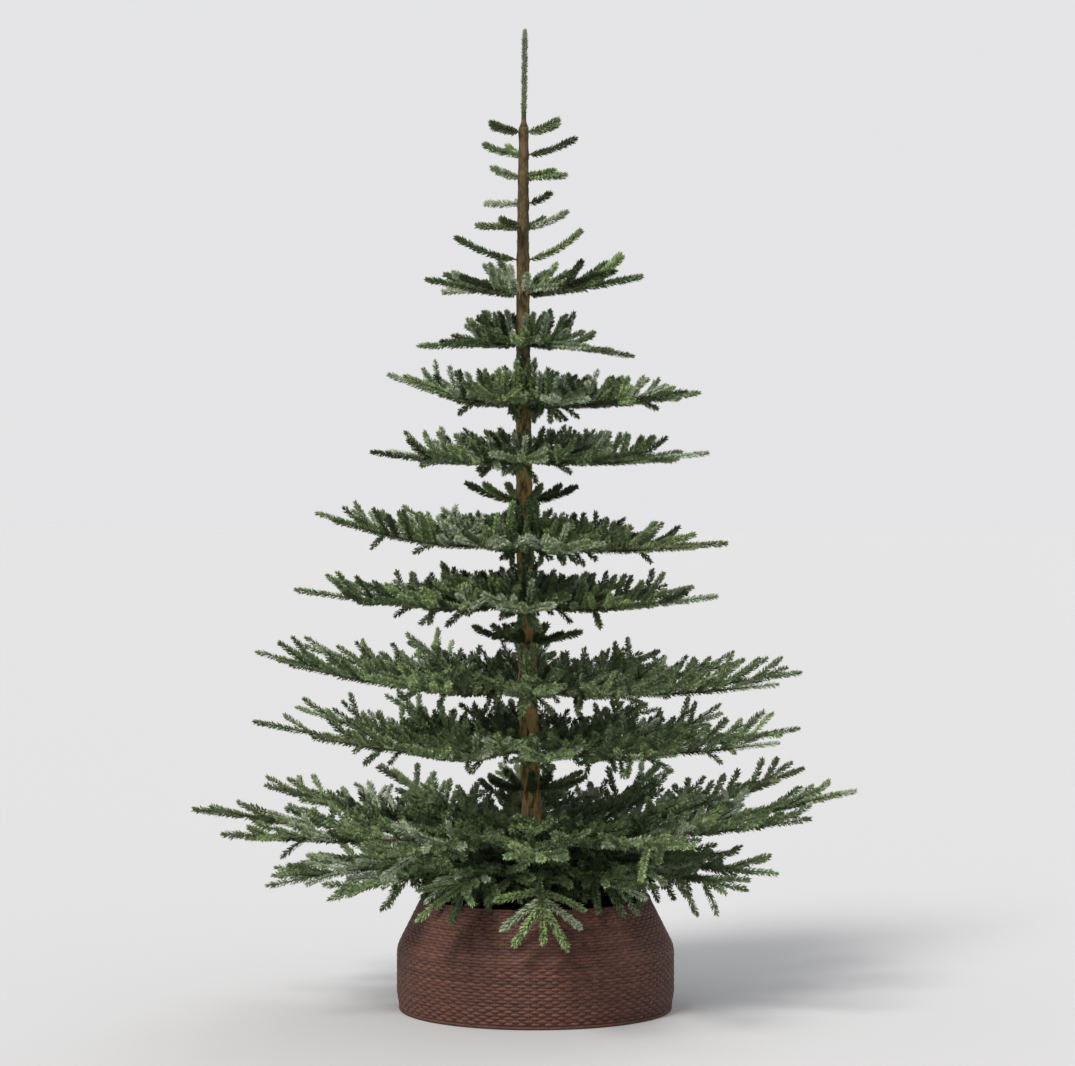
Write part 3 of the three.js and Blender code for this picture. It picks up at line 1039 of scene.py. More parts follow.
@dataclass
class Sprig:
    """A frond or a ring while it grows."""

    habit: Habit
    rng: np.random.Generator
    front: float = 0.0
    growth: Growth = field(default_factory=Growth)
    greens: tuple[float, ...] = (0.17, 0.41, 0.31, 0.085, 0.025)
    shortest: float = 14.0
    rise_at_root: float = 1.1
    rise_at_front: float = 0.3
    hang_chance: float = 0.1
    bend_for_aim: Span = (-0.16, 0.1)
    bend_spread: Span = (0.6, 1.3)
    needle_spread: Span = (0.92, 1.08)

    def green(self, brighter: float = 0.0, silver: float = 0.7) -> Green:
        """Draws a spray's green.

        Args:
            brighter: How much more often it is pale or fresh.
            silver: The share of pale ones in that.

        Returns:
            The green.
        """
        shares = np.array(self.greens)
        shares[[Green.SILVER, Green.FRESH]] += brighter * silver, brighter * (1 - silver)
        return Green(int(self.rng.choice(len(shares), p=shares / shares.sum())))

    def rise(self, place: float) -> float:
        """Draws how far a finger rises above its frond; more of them hang on one that faces the front.

        Args:
            place: How far out on the frond, 0 to 1.

        Returns:
            The angle.
        """
        habit, rng = self.habit, self.rng
        kind = rng.random()
        if kind < habit.rising:
            outer = mix(self.rise_at_root, habit.rise_at_tip, place)
            return rng.uniform(*habit.rise) * outer * mix(1.0, self.rise_at_front, self.front ** 2)
        hangs = kind > habit.rising + habit.level and rng.random() < self.hang_chance + self.front ** 4
        return rng.uniform(*(habit.hang if hangs else habit.level_rise))

    def finger(self, at: Array, aim: Array, length: float, green: Green, bend: float | None = None) -> None:
        """Adds one shoot.

        Args:
            at: Where it starts.
            aim: Its unit direction.
            length: Its length with the needles past its stem's end.
            green: Its colour.
            bend: How far its tip turns up, as a share of its length, or none for what its aim gives.
        """
        stem = max(length - self.habit.stub, self.shortest)
        if bend is None:
            bend = mix(*self.bend_for_aim, min(max((aim[2] + 0.3) / 0.9, 0.0), 1.0))
        self.growth.shoots.append(Shoot(
            at, aim * stem, UP * stem * bend * self.rng.uniform(*self.bend_spread), green,
            needle=self.habit.needle * self.rng.uniform(*self.needle_spread), density=self.habit.density,
            bare=min(3.0 / stem, 0.2),
        ))

    def sleeve(self, path: Array, step: int, green: Green, longer: float = 1.0, bare: float = 0.0) -> None:
        """Adds the needles round one length of a limb.

        Args:
            path: The limb's points.
            step: At which of them the length starts.
            green: Its colour.
            longer: How much longer its needles are than a finger's.
            bare: The share of it that has none.
        """
        self.growth.shoots.append(Shoot(
            path[step], path[step + 1] - path[step], np.zeros(3), green, bare=bare, stem=False, tip=False,
            needle=self.habit.needle * longer, density=self.habit.density * self.habit.limb_density,
        ))

    def limb(self, path: Array, radii: Array, sides: int) -> Array:
        """Adds a limb and returns its unit directions."""
        self.growth.limbs.append(Limb(path, radii, sides))
        return unit(np.gradient(path, axis=0))

    def branch(self, at: Array, along: Array, side: float, length: float, green: Green, place: float) -> None:
        """Adds a side branch with fingers of its own.

        Args:
            at: Where it starts.
            along: The unit direction of the limb that bears it.
            side: 1 for that limb's left and -1 for its right.
            length: The branch's length.
            green: Its colour.
            place: How far out on the frond it starts, 0 to 1.
        """
        habit, rng = self.habit, self.rng
        aim = aimed(along, side, rng.normal(*habit.branch_turn), rng.uniform(*habit.branch_rise))
        end = rng.uniform(*habit.branch_end)
        wood = length - end
        steps = max(int(round(wood / rng.uniform(*habit.spacing))), 1)
        shares = np.linspace(0, 1, steps + 1)[:, None]
        inward = unit(along - aim * (along @ aim))
        path = at + aim * wood * shares + (inward * 0.07 + UP * 0.05) * wood * shares ** 2
        heading = self.limb(path, np.linspace(habit.limb_radius[1] + 0.9, 1.6, steps + 1), 4)
        for step in range(steps):
            self.sleeve(path, step, green, bare=0.0 if step else 0.2)
        for step in range(1, steps + 1):
            for hand in (1, -1):
                if rng.random() < habit.twig_chance:
                    reach = rng.uniform(*habit.twig_reach) * (1.0 if hand == -side or step < steps else 0.9)
                    rise = self.rise(place)
                    turn = rng.normal(*habit.twig_turn)
                    self.finger(path[step], aimed(heading[step], hand, turn, rise), reach, green)
        self.finger(path[-1], heading[-1], end, green, 0.08)


@dataclass(frozen=True)
class FrondGrower:
    """Grows fronds and rings by a seeded branching rule."""

    seed: int = SEED
    sway: float = 3.5
    sunk: float = 2.0
    # Painted highlight: how much more often fronds that face the front take the pale greens.
    pale_front: Span = (0.42, 0.9)
    pale_high: float = 0.44
    silver: Span = (0.35, 0.75)
    high_from: float = 700.0
    high_over: float = 500.0
    faces_front: float = 0.9
    hanging_stations: tuple[float, ...] = (90.0, 150.0, 210.0, 260.0, 300.0, 335.0, 362.0)
    hand: tuple[tuple[int, float, float, Green], ...] = (
        (5, 78, -4, Green.FRESH), (6, 70, -24, Green.SILVER), (7, 56, -48, Green.FRESH),
    )
    palm_needle: float = 13.5
    wrist_turn: Span = (48.0, 5.0)
    wrist_reach: Span = (60.0, 80.0)
    middle_finger: float = 90.0

    def frond(self, tier: Tier, index: float, share_of_reach: float = 1.0) -> Growth:
        """Grows one frond.

        Args:
            tier: Its tier.
            index: Its place in the tier, with a half for a frond between two others.
            share_of_reach: How much of the full reach it has.

        Returns:
            Its limbs and shoots.
        """
        rng = np.random.default_rng((self.seed, tier.number, int(2 * index)))
        habit = HABITS[tier.vigour]
        angle = tier.azimuth(index)
        sprig = Sprig(habit, rng, max(-math.sin(angle), 0.0))
        reach = tier.frond_reach(angle) * share_of_reach
        sway = math.radians(rng.uniform(-self.sway, self.sway))
        root = TRUNK_LINE.root(tier.height, self.sunk)
        last = reach - rng.uniform(*habit.terminal)
        stations = [root + habit.bare]
        while stations[-1] < last - habit.spacing[0] * 0.6:
            stations.append(stations[-1] + rng.uniform(*habit.spacing))
        stations[-1] = last
        radii = np.array([root, *stations])
        path = tier.points(angle, radii, sway)
        share = (radii - root) / (reach - root)
        heading = sprig.limb(path, mix(*habit.limb_radius, share ** 0.7), 6)
        high = smooth_step((tier.height - self.high_from) / self.high_over)
        silver = mix(*self.silver, high)
        side = 1 if rng.random() < 0.5 else -1
        own = sprig.green()
        for step in range(1, len(radii)):
            place = share[step]
            outer = smooth_step((place - 0.15) * 2)
            # Painted highlight on the tops of the fronds that face the front: they take the pale greens more
            # often. Higher tiers take them more often too.
            bright = mix(*self.pale_front, high) * sprig.front ** 2 * outer + self.pale_high * high
            if step < len(radii) - 1:
                sprig.sleeve(path, step, own if place < 0.5 else sprig.green(bright, silver), 1.06)
            spray = sprig.green(bright, silver)
            width = mix(*habit.finger, min(1.4 * place, 1.0))
            branch = min(habit.branch_share * (reach - radii[step]), habit.branch_most)
            branches = step % 2 == 0 and branch > habit.branch_least
            if branches:
                length = branch * rng.uniform(*habit.branch_reach)
                sprig.branch(path[step], heading[step], side, length, spray, place)
            for hand in (1, -1):
                if (branches and hand == side) or rng.random() > habit.finger_chance:
                    continue
                turn = mix(*habit.forward, place) + rng.normal(0, 6)
                aim = aimed(heading[step], hand, turn, sprig.rise(place))
                sprig.finger(path[step], aim, width * rng.uniform(*habit.finger_reach), spray)
            self._extras(sprig, tier, path[step], heading[step], step, place, width, spray)
            if branches:
                side = -side
        ahead = tier.points(angle, np.array([reach]), sway)[0] - path[-1]
        sprig.finger(path[-1], unit(ahead), float(np.linalg.norm(ahead)), sprig.green(0.2), 0.0)
        return sprig.growth

    def _extras(
        self, sprig: Sprig, tier: Tier, at: Array, along: Array, step: int, place: float, width: float,
        spray: Green,
    ) -> None:
        """Adds a station's fingers that stand up on the frond or hang under it.

        Args:
            sprig: The frond.
            tier: Its tier.
            at: The station.
            along: The limb's unit direction there.
            step: The station's number, from the trunk.
            place: How far out it is, 0 to 1.
            width: How long its side fingers are.
            spray: Its green.
        """
        habit, rng, front = sprig.habit, sprig.rng, sprig.front
        if step == 1 and habit.crowned or rng.random() < habit.top_chance * (1 - 1.5 * place):
            side = rng.choice((1, -1))
            aim = aimed(along, side, rng.uniform(*habit.top_turn), rng.uniform(*habit.top_rise))
            sprig.finger(at, aim, width * rng.uniform(*habit.top_reach) * (1 - 0.5 * place), spray)
        if front > self.faces_front and step <= tier.upright:
            sideways = along[0]
            inward = -math.copysign(1, sideways) if abs(sideways) > 0.1 else (-1) ** step
            aim = aimed(along, inward, rng.uniform(*habit.upright_turn), rng.uniform(*habit.upright_rise))
            sprig.finger(at, aim, rng.uniform(*habit.upright_reach), sprig.green())
        # Painted shade: the fingers under the frond always take the deep green.
        inside = habit.unders > 1 and place < 0.5
        chance = 1.0 if inside else habit.under_chance * mix(1.2, 0.4, place) * mix(0.25, 1.8, front ** 4)
        for _ in range(habit.unders if inside else 1):
            if rng.random() < chance:
                turn, fall = rng.uniform(*habit.under_turn), rng.uniform(*habit.under_rise)
                aim = aimed(along, rng.choice((1, -1)), turn, fall)
                sprig.finger(at, aim, width * rng.uniform(*habit.under_reach), Green.DEEP)

    def hanging_frond(self, tier: Tier, index: int) -> Growth:
        """Grows the frond that comes over the collar's rim and hangs like an open hand.

        Args:
            tier: Its tier.
            index: Its place in the tier.

        Returns:
            Its limbs and shoots.
        """
        rng = np.random.default_rng((self.seed, tier.number, index))
        habit = HABITS[Vigour.HANGING]
        sprig = Sprig(habit, rng, 1.0)
        angle = tier.azimuth(index)
        path = tier.points(angle, np.array([TRUNK_LINE.root(tier.height, self.sunk), *self.hanging_stations]))
        heading = sprig.limb(path, np.linspace(*habit.limb_radius, len(path)), 6)
        for step in (1, 2, 3):
            for side in (1, -1):
                aim = aimed(heading[step], side, rng.normal(*self.wrist_turn), sprig.rise(0.5))
                sprig.finger(path[step], aim, rng.uniform(*self.wrist_reach), Green.DEEP)
        for step in range(1, len(path) - 1):
            sprig.sleeve(path, step, Green.MIDDLE, self.palm_needle / habit.needle)
        for step, forward, rise, green in self.hand:
            for side in (1, -1):
                aim = aimed(heading[step], side, forward + rng.normal(0, 3), rise + rng.normal(0, 4))
                sprig.finger(path[step], aim, rng.uniform(*habit.finger), green, -0.12)
        ahead = tier.points(angle, np.array([tier.frond_reach(angle)]))[0] - path[-1]
        sprig.finger(path[-1], unit(unit(ahead) - UP * 0.9), self.middle_finger, Green.FRESH, -0.08)
        return sprig.growth

    def whorl(self, whorl: Whorl) -> Growth:
        """Grows a ring of single shoots.

        Args:
            whorl: The ring.

        Returns:
            Its shoots.
        """
        rng = np.random.default_rng((self.seed, 100 + whorl.number))
        habit = HABITS[Vigour.RING]
        sprig = Sprig(habit, rng)
        offset = TRUNK_LINE.offset
        for index in sorted(set(range(whorl.shoots)) - set(whorl.missing)):
            angle, reach, lift = whorl.shoot(index)
            stem = reach - habit.stub
            away = compass(angle)
            root = TRUNK_LINE.root(whorl.height, 1)
            base = away * root + np.array((offset(whorl.height), 0.0, whorl.height))
            shift = float(offset(whorl.height + lift) - offset(whorl.height))
            run = away * (stem - root) + np.array((shift, 0.0, lift * 0.35))
            sprig.growth.shoots.append(Shoot(
                base, run, UP * lift * 0.65 * (stem / reach), sprig.green(whorl.pale), habit.limb_radius[0],
                habit.bare / stem, needle=habit.needle, density=habit.density,
            ))
            if whorl.tufted:
                aim = unit(away + UP * rng.uniform(0.7, 1.3))
                sprig.finger(base, aim, rng.uniform(44, 62), sprig.green())
        return sprig.growth


# The tree's sub-assemblies

@dataclass
class Leader:
    """The long bare shoot on top, in a sleeve of short needles pressed to it."""

    density: float = 4.6
    sleeve_radii: Span = (5.7, 3.2)
    sleeve_sides: int = 8

    def grow(self) -> Growth:
        """Grows the leader's needles and their sleeve; the trunk has its stem.

        Returns:
            One shoot and one limb.
        """
        line, rings = TRUNK_LINE, 8
        start = np.array((float(line.offset(line.stem_foot)), 0.0, line.stem_foot))
        end = np.array((float(line.offset(line.stem_tip)), 0.0, line.stem_tip - 5))
        shoot = Shoot(start, end - start, np.zeros(3), Green.SILVER, stem=False, density=self.density)
        path = start + (end - start) * np.linspace(0.0, 1.0, rings)[:, None]
        sleeve = Limb(path, np.linspace(*self.sleeve_radii, rings), self.sleeve_sides, skin=1)
        return Growth([shoot], [sleeve])


@dataclass(frozen=True)
class Bunch:
    """What one piece of needles holds."""

    name: str
    tiers: tuple[int, ...]
    rings: tuple[int, ...] = ()
    masses: range | None = None
    wood: str = "lower"


@dataclass
class Foliage:
    """All needles and twigs, made into a few joined pieces."""

    grower: FrondGrower = field(default_factory=FrondGrower)
    bunches: tuple[Bunch, ...] = (
        Bunch("upper", (7, 8, 9, 10), (1, 2, 3, 4, 5, 6), wood="upper"),
        Bunch("tier_12", (12,), (11,), wood="upper"),
        Bunch("tier_13", (13,), (14,), wood="upper"),
        Bunch("tier_15", (15,)),
        Bunch("tier_16", (16,), (17,)),
        Bunch("tier_18_back", (18,), masses=range(0, 2)),
        Bunch("tier_18_front", (18,), masses=range(2, 4)),
        Bunch("tier_19", (19,)),
    )

    def _tier(self, number: int, masses: range | None = None) -> Growth:
        """Grows a tier.

        Args:
            number: Which tier.
            masses: Which of its masses, or all.

        Returns:
            The growth of those masses' fronds.
        """
        tier = TIERS[number]
        growth = Growth()
        for index in (m * tier.fronds + n for m in masses or range(tier.masses) for n in range(tier.fronds)):
            toward = tier.turn + 360 * index / tier.count - 360
            hangs = tier.hanging and abs(toward - tier.hanging.azimuth) < 1
            growth.take(self.grower.hanging_frond(tier, index) if hangs else self.grower.frond(tier, index))
            at_front = -math.sin(tier.azimuth(index + 0.5)) > 0.98
            between = tier.between_front if at_front else tier.between
            if between:
                growth.take(self.grower.frond(tier, index + 0.5, between))
        return growth

    def build(self) -> None:
        """Makes the needle and twig pieces and says which nodes they stand for."""
        needles = [NEEDLE_FINISHES[green].make() for green in Green]
        twigs = [finish.make() for finish in TWIG_FINISHES]
        wood = {"upper": Growth(), "lower": Growth()}
        for number, bunch in enumerate(self.bunches):
            growth, nodes = Growth(), []
            if bunch.name == "upper":
                growth, nodes = Leader().grow(), ["leader"]
            for tier in bunch.tiers:
                growth.take(self._tier(tier, bunch.masses))
                nodes += TIERS[tier].nodes(bunch.masses)
            for ring in bunch.rings:
                growth.take(self.grower.whorl(WHORLS[ring]))
                nodes.append(WHORLS[ring].node)
            mesher = Mesher()
            growth.needles(mesher, SEED + number)
            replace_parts(mesher.piece(f"needles_{bunch.name}", needles, "needles", smooth=False), *nodes)
            wood[bunch.wood].take(growth)
        for name, growth in wood.items():
            mesher = Mesher()
            growth.twigs(mesher)
            mesher.piece(f"twigs_{name}", twigs, "bark")


@dataclass
class Trunk:
    """The pole trunk with its moulded bark, the stem on top, and the bare boughs of the lowest tiers."""

    rows: int = 420
    columns: int = 56
    scales_round: int = 9
    scale_depth: float = 1.7
    fine_depth: float = 0.7
    relief_from: float = 165.0
    relief_over: float = 60.0
    knot: float = 1.6
    knot_width: float = 13.0
    stem_radii: Span = (5.0, 2.4)
    stem_rows: int = 16
    bough_end: float = 150.0
    bough_radii: Span = (9.0, 6.4)
    bough_rows: int = 22
    bough_columns: int = 14
    flare: float = 3.5

    def build(self) -> None:
        """Makes the bark pieces and says which nodes they stand for."""
        bark = BarkFinish().make()
        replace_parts(self._pole().piece("trunk_bark", [bark], "bark"), "trunk")
        boughs = self._boughs().piece("bough_bark", [bark], "bark")
        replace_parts(boughs, *[f"bough_{tier}_{n}" for tier in (18, 19) for n in range(1, 5)])

    def _relief(self, turn: Array, along: Array, length: float, seed: int, scales_round: int) -> Array:
        """Works out the bark's relief.

        Args:
            turn: Place round the limb, 0 to 1.
            along: Place along it, 0 to 1.
            length: The limb's length.
            seed: Starts the noise.
            scales_round: How many scales go round.

        Returns:
            How far the skin stands out, from 0 down to minus the depth.
        """
        scales, twisted, fine = (
            Grain(seed + layer, 2 ** layer * scales_round, max(int(length / pitch), 2)).at(turn, along)
            for layer, pitch in enumerate((30, 13, 7))
        )
        ridges = np.abs(2 * (0.65 * scales + 0.35 * twisted) - 1)
        return -self.scale_depth * (1 - smooth_step(ridges * 3)) - self.fine_depth * fine

    def _pole(self) -> Mesher:
        """Makes the trunk from the cut in the socket to the tip of the leader's stem.

        Returns:
            Its mesh.
        """
        mesher, line = Mesher(), TRUNK_LINE
        turns, heights = np.meshgrid(
            np.arange(self.columns) / self.columns, np.linspace(line.foot, line.top, self.rows),
        )
        share = (heights - line.foot) / (line.top - line.foot)
        depth = smooth_step((heights - self.relief_from) / self.relief_over) * mix(1.0, 0.6, share)
        radius = line.radius(heights) + self._relief(turns, share, line.top, SEED, self.scales_round) * depth
        for ring in (*TIERS.values(), *WHORLS.values()):
            radius += self.knot * np.exp(-((heights - ring.height) / self.knot_width) ** 2)
        angle = FULL_TURN * turns
        sideways = radius * np.cos(angle) + line.offset(heights)
        points = np.stack([sideways, radius * np.sin(angle), heights], axis=-1)
        mesher.tube(points, points[[0, -1]].mean(axis=1))
        rise = np.linspace(line.top - 2, line.stem_tip, self.stem_rows)
        radii = (line.top_radius * 0.97, *self.stem_radii)
        thick = np.interp(rise, (line.top, line.stem_foot, line.stem_tip), radii)[:, None]
        path = np.stack([line.offset(rise), 0 * rise, rise], axis=-1)
        mesher.sweep(path, RIGHT * thick, BACK * thick, 10)
        return mesher

    def _boughs(self) -> Mesher:
        """Makes the bare boughs, with a flare where each leaves the trunk.

        Returns:
            Their mesh.
        """
        mesher = Mesher()
        boughs = [(TIERS[number], index) for number in (18, 19) for index in range(TIERS[number].count)]
        for tier, index in boughs:
            root = TRUNK_LINE.root(tier.height, 3)
            radii = np.linspace(root, self.bough_end, self.bough_rows)
            path = tier.points(tier.azimuth(index), radii)
            over, beside = across(unit(np.gradient(path, axis=0)))
            share = (radii - root) / (self.bough_end - root)
            turns, shares = np.meshgrid(np.arange(self.bough_columns) / self.bough_columns, share)
            seed = SEED + 50 * tier.number + 4 * index
            thick = mix(*self.bough_radii, shares) + self.flare * np.exp(-shares * 9)
            thick += 0.5 * self._relief(turns, shares, self.bough_end, seed, 5)
            spokes = turned(FULL_TURN * turns, over[:, None], beside[:, None])
            rings = path[:, None] + spokes * thick[..., None]
            mesher.tube(rings, rings[[0, -1]].mean(axis=1))
        return mesher


@dataclass
class Collar:
    """A round ring of plain weave: flat rods woven between upright stakes, with plaited borders."""

    height: float = 264.0
    foot_radius: float = 319.0
    radius: float = 326.0
    rim_radius: float = 267.0
    swell_end: float = 44.0
    bend_start: float = 132.0
    bend_end: float = 162.0
    slant: float = 0.5
    wall: float = 9.0
    stakes: int = 132
    stake_radius: float = 1.9
    stake_rows: int = 26
    segments_per_stake: int = 3
    pitch: float = 7.3
    rod_height: float = 4.9
    rod_thickness: float = 1.7
    rod_sides: int = 5
    wave: float = 1.35
    tint_shares: tuple[float, ...] = (0.32, 0.5, 0.18)
    border_steps: int = 520
    border_rods: int = 3
    border_radius: float = 2.2
    plait: float = 2.1

    @cached_property
    def profile(self) -> tuple[Array, Array]:
        """Works out the middle of the wall.

        Returns:
            Distances along it, and the radius and height at each.
        """
        middle = (self.bend_start + self.bend_end) / 2
        bend = np.linspace(self.bend_start, self.bend_end, 9)
        bend_share = (bend - self.bend_start) / (self.bend_end - self.bend_start)
        drawn_in = self.slant * (self.bend_end - middle) * bend_share ** 2
        height = np.array([0, self.swell_end, *bend, self.height])
        radius = np.array([self.foot_radius, self.radius, *(self.radius - drawn_in), self.rim_radius])
        radius -= self.wall / 2
        along = np.concatenate([[0], np.cumsum(np.hypot(np.diff(radius), np.diff(height)))])
        return along, np.stack([radius, height], axis=-1)

    @property
    def length(self) -> float:
        """Returns the length of the wall from foot to rim."""
        return self.profile[0][-1]

    def build(self) -> None:
        """Makes the collar's pieces and says that they stand for its node."""
        materials = [finish.make() for finish in WICKER_FINISHES]
        meshes = {"weave": self._weave(), "stakes": self._stakes(), "borders": self._borders()}
        for name, mesher in meshes.items():
            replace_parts(mesher.piece(f"collar_{name}", materials, "wicker"), "collar")

    def _ring(self, along: Array, angle: Array, out: Array) -> tuple[Array, Array, Array]:
        """Places points on the wall.

        Args:
            along: Distance up the wall.
            angle: Angle round it, in radians.
            out: Distance outwards from the middle of the wall.

        Returns:
            The points, the outward directions and the directions up the wall.
        """
        places, (radii, heights) = self.profile[0], self.profile[1].T
        radius, height = np.interp(along, places, radii), np.interp(along, places, heights)
        slope_radius, slope_height = (
            np.interp(along + 2, places, values) - np.interp(along - 2, places, values)
            for values in (radii, heights)
        )
        length = np.maximum(np.hypot(slope_radius, slope_height), 1e-6)
        up_radius, up_height = slope_radius / length, slope_height / length
        round_x, round_y = np.cos(angle), np.sin(angle)
        outward = np.stack([up_height * round_x, up_height * round_y, -up_radius], axis=-1)
        upward = np.stack([up_radius * round_x, up_radius * round_y, up_height], axis=-1)
        points = np.stack([radius * round_x, radius * round_y, height], axis=-1) + outward * out[..., None]
        return points, outward, upward

    def _weave(self) -> Mesher:
        """Weaves the rods, which pass the stakes in turn outside and inside.

        Returns:
            Their mesh.
        """
        mesher = Mesher()
        rng = np.random.default_rng(SEED + 7)
        courses = int((self.length - 14) / self.pitch)
        count = self.stakes * self.segments_per_stake
        angle = circle(count)
        for course in range(courses):
            level = 8 + (course + 0.5) * (self.length - 15) / courses
            phase = rng.uniform(0, FULL_TURN, 3)
            wander = 0.3 * np.sin(3 * angle + phase[0]) + 0.25 * np.sin(11 * angle + phase[1])
            wander += rng.normal(0, 0.15, count)
            swell = (1 + 0.08 * np.sin(7 * angle + phase[2]) + rng.normal(0, 0.04, count))[:, None]
            side = 1 if course % 2 else -1
            out = side * self.wave * np.cos(self.stakes / 2 * angle)
            points, outward, upward = self._ring(level + wander, angle, out)
            tall, thick = upward * (self.rod_height * swell), outward * (self.rod_thickness * swell)
            mesher.sweep(points, tall, thick, self.rod_sides, closed=True, slot=self._tints(rng, count))
        return mesher

    def _tints(self, rng: np.random.Generator, count: int) -> Array:
        """Deals the tints of one course, which is several rods end to end.

        Args:
            rng: The draws.
            count: How many rings the course has.

        Returns:
            The material of each triangle, in the order that a closed sweep makes them.
        """
        tints = np.zeros(count, dtype=int)
        start = -int(rng.integers(60, 160))
        while start < count:
            length = int(rng.integers(90, 190))
            tints[max(start, 0):start + length] = rng.choice(len(self.tint_shares), p=self.tint_shares)
            start += length
        return np.tile(np.repeat(tints, self.rod_sides), 2)

    def _stakes(self) -> Mesher:
        """Stands up the stakes, which show between the rods.

        Returns:
            Their mesh.
        """
        mesher = Mesher()
        rng = np.random.default_rng(SEED + 8)
        along = np.linspace(3, self.length - 3, self.stake_rows)
        for stake in range(self.stakes):
            angle = FULL_TURN * stake / self.stakes + rng.normal(0, 0.002)
            points, outward, _ = self._ring(along, np.full(len(along), angle), np.zeros(len(along)))
            radius = self.stake_radius * rng.uniform(0.9, 1.1)
            beside = np.broadcast_to(np.cross(UP, compass(angle)) * radius, points.shape)
            mesher.sweep(points, outward * radius, beside, 5, slot=int(rng.integers(len(WICKER_FINISHES))))
        return mesher

    def _borders(self) -> Mesher:
        """Plaits the rim and the foot, each of rods wound round each other.

        Returns:
            Their mesh.
        """
        mesher = Mesher()
        angle = circle(self.border_steps)
        for level, turns, tints in ((self.length - 4.3, 78, (1, 2, 1)), (4.6, 72, (0, 1, 1))):
            for rod in range(self.border_rods):
                wind = turns * angle + FULL_TURN * rod / self.border_rods
                up, out = self.plait * np.sin(wind), self.plait * np.cos(wind)
                points, outward, upward = self._ring(level + up, angle, out)
                radius = self.border_radius
                mesher.sweep(points, upward * radius, outward * radius, 6, closed=True, slot=tints[rod])
        return mesher


@dataclass
class Stand:
    """The steel stand, whose nodes keep their shape, with its clamp screws and bolts."""

    socket_radius: float = 32.5
    legs: int = 4
    screws: int = 3
    screw_height: float = 146.0
    screw_length: float = 20.0
    screw_radius: float = 3.4
    screw_sides: int = 10
    threads: int = 9
    loop_radius: float = 9.0
    loop_wire: float = 2.4
    nut: tuple[Span, ...] = ((0, 6.5), (4, 6.5), (5, 5.6))
    bolt_heights: Span = (24.0, 50.0)
    bolt_out: float = 9.0
    bolt_head: tuple[Span, ...] = ((0, 6.4), (0.9, 6.4), (1.0, 4.8), (4.0, 4.8), (4.6, 4.2))
    mesher: Mesher = field(default_factory=Mesher)

    def build(self) -> None:
        """Dresses the stand's nodes and makes its screws and bolts."""
        steel = PaintedSteelFinish().make()
        for name in ["stand_socket"] + [f"stand_leg_{n + 1}" for n in range(self.legs)]:
            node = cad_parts[name]
            node.data.materials.clear()
            node.data.materials.append(steel)
            log.info("%s: kept from the frame", name)
        for number in range(self.screws):
            self._screw(compass(math.radians(45 + 360 / self.screws * number)))
        for leg in range(self.legs):
            for height in self.bolt_heights:
                self._bolt(compass(FULL_TURN * leg / self.legs), height)
        self.mesher.piece("stand_screws", [steel], "painted_steel", smooth=False)

    def _rod(self, start: Array, steps: list[Span] | tuple[Span, ...], along: Array, sides: int = 6) -> None:
        """Adds a turned rod.

        Args:
            start: Where it starts.
            steps: Distance along and radius at each ring.
            along: Its unit direction.
            sides: How many sides it has.
        """
        path = np.array([start + along * distance for distance, _ in steps])
        radii = np.array([[radius] for _, radius in steps])
        over, beside = across(np.broadcast_to(along, path.shape))
        self.mesher.sweep(path, over * radii, beside * radii, sides)

    def _screw(self, away: Array) -> None:
        """Adds a clamp screw with a nut and a loop to turn it by.

        Args:
            away: Its unit direction from the socket's middle.
        """
        start = away * (self.socket_radius - 1) + UP * self.screw_height
        thread = [(0.0, self.screw_radius)]
        for turn in range(self.threads):
            distance = 1.0 + turn * (self.screw_length - 2) / self.threads
            thread += [(distance, self.screw_radius), (distance + 0.8, self.screw_radius * 0.82)]
        thread.append((self.screw_length, self.screw_radius))
        self._rod(start, thread, away, self.screw_sides)
        self._rod(away * (self.socket_radius - 0.5) + UP * self.screw_height, self.nut, away)
        middle = start + away * (self.screw_length + self.loop_radius - 1)
        ring = unit(turned(circle(20), away, np.cross(UP, away)))
        path = middle + ring * self.loop_radius
        wire = np.broadcast_to(UP * -self.loop_wire, path.shape)
        self.mesher.sweep(path, ring * self.loop_wire, wire, 8, closed=True)

    def _bolt(self, away: Array, height: float) -> None:
        """Adds a bolt through a leg, with a head on one side and a nut on the other.

        Args:
            away: The leg's unit direction.
            height: The bolt's height.
        """
        beside = np.cross(UP, away)
        middle = away * (self.socket_radius + self.bolt_out) + UP * height
        for side in (1, -1):
            self._rod(middle + beside * side * 3.6, self.bolt_head, beside * side)


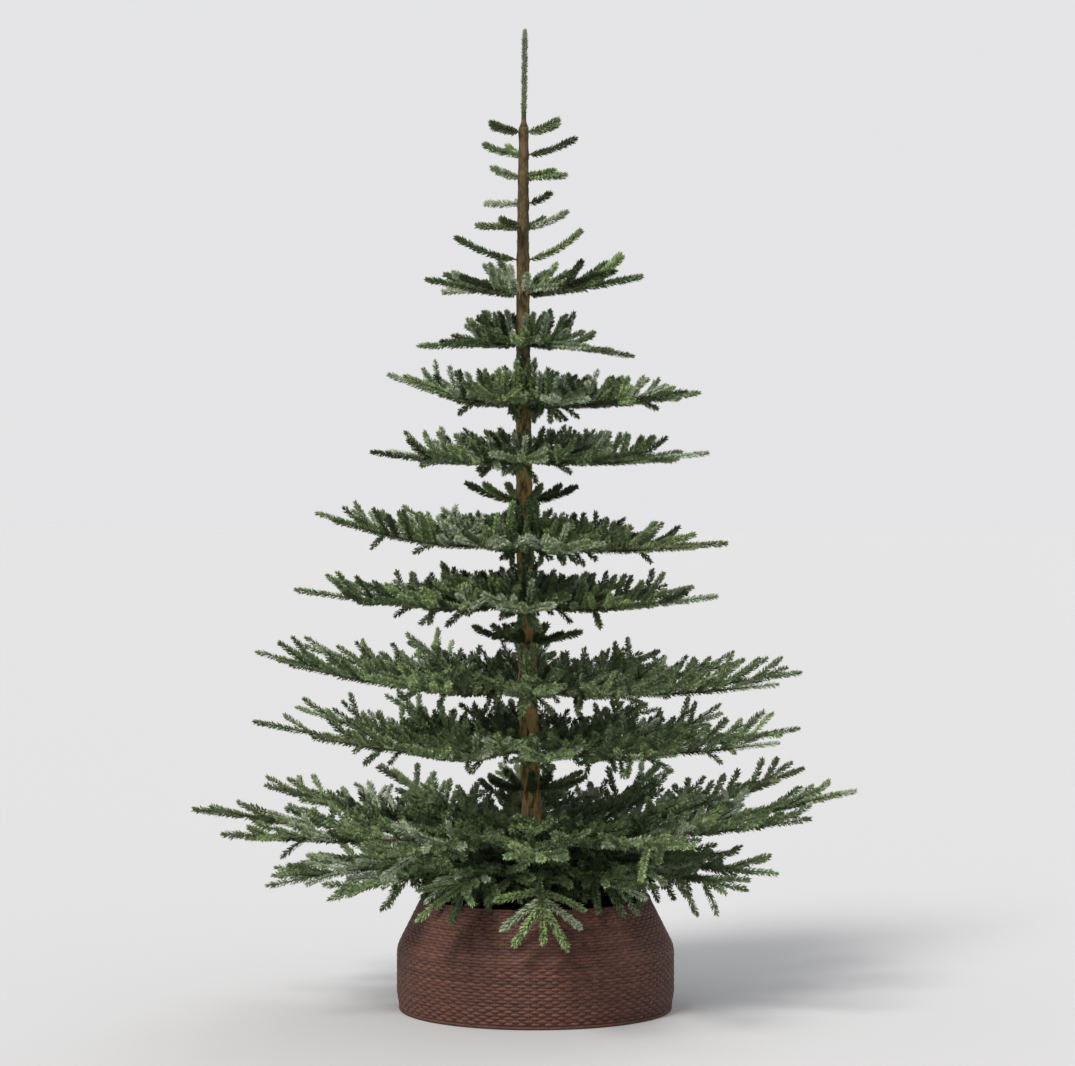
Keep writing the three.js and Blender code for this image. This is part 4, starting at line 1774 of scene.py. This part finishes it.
@dataclass
class Studio:
    """Pale floor, soft light and the camera."""

    floor_radius: float = 60.0
    camera_place: tuple[float, float, float] = (0.0047, -7.94, 1.27)
    camera_down: float = 1.144
    lens: float = 114.0
    sensor: float = 36.0
    sky: Colour = (0.985, 0.985, 1.0)
    sky_strength: float = 0.79

    def build(self) -> None:
        """Makes the floor, the lights, the world and the camera."""
        self._floor()
        self._light("key_light", 46.0, -32.0, 4.4, 18.0, (1.0, 0.97, 0.92))
        self._light("back_light", 50.0, 150.0, 1.1, 30.0, (0.95, 0.97, 1.0))
        world = bpy.data.worlds.new("pale_room")
        world.use_nodes = True
        background = world.node_tree.nodes["Background"]
        background.inputs["Color"].default_value = (*self.sky, 1.0)
        background.inputs["Strength"].default_value = self.sky_strength
        bpy.context.scene.world = world
        bpy.context.scene.view_settings.view_transform = "Standard"
        self._camera()

    def _floor(self) -> None:
        """Makes the floor, a wide disc."""
        rim = turned(circle(96), RIGHT, BACK) * self.floor_radius
        mesh = bpy.data.meshes.new("floor")
        mesh.from_pydata([tuple(point) for point in rim], [], [tuple(range(len(rim)))])
        mesh.materials.append(FloorFinish().make())
        placed("floor", mesh)

    @staticmethod
    def _light(name: str, height: float, side: float, strength: float, size: float, colour: Colour) -> None:
        """Adds a soft far light.

        Args:
            name: Its name.
            height: How high it stands, as an angle above the floor.
            side: How far it stands to the right of the camera's side, as an angle round the tree.
            strength: Its strength.
            size: How wide it looks from the tree, as an angle.
            colour: Its colour.
        """
        data = bpy.data.lights.new(name, "SUN")
        data.energy, data.angle, data.color = strength, math.radians(size), colour
        placed(name, data).rotation_euler = (math.radians(90 - height), 0.0, math.radians(side))

    def _camera(self) -> None:
        """Adds the camera at the photo's viewing angle."""
        data = bpy.data.cameras.new("camera")
        data.lens, data.sensor_width = self.lens, self.sensor
        camera = placed("camera", data)
        camera.location = self.camera_place
        camera.rotation_euler = (math.radians(90 - self.camera_down), 0.0, 0.0)
        bpy.context.scene.camera = camera


def main() -> None:
    """Builds the tree from its foot up, then the studio."""
    logging.basicConfig(level=logging.INFO, format="%(message)s")
    for assembly in (Stand(), Collar(), Trunk(), Foliage(), Studio()):
        assembly.build()


if __name__ == "__main__":
    main()
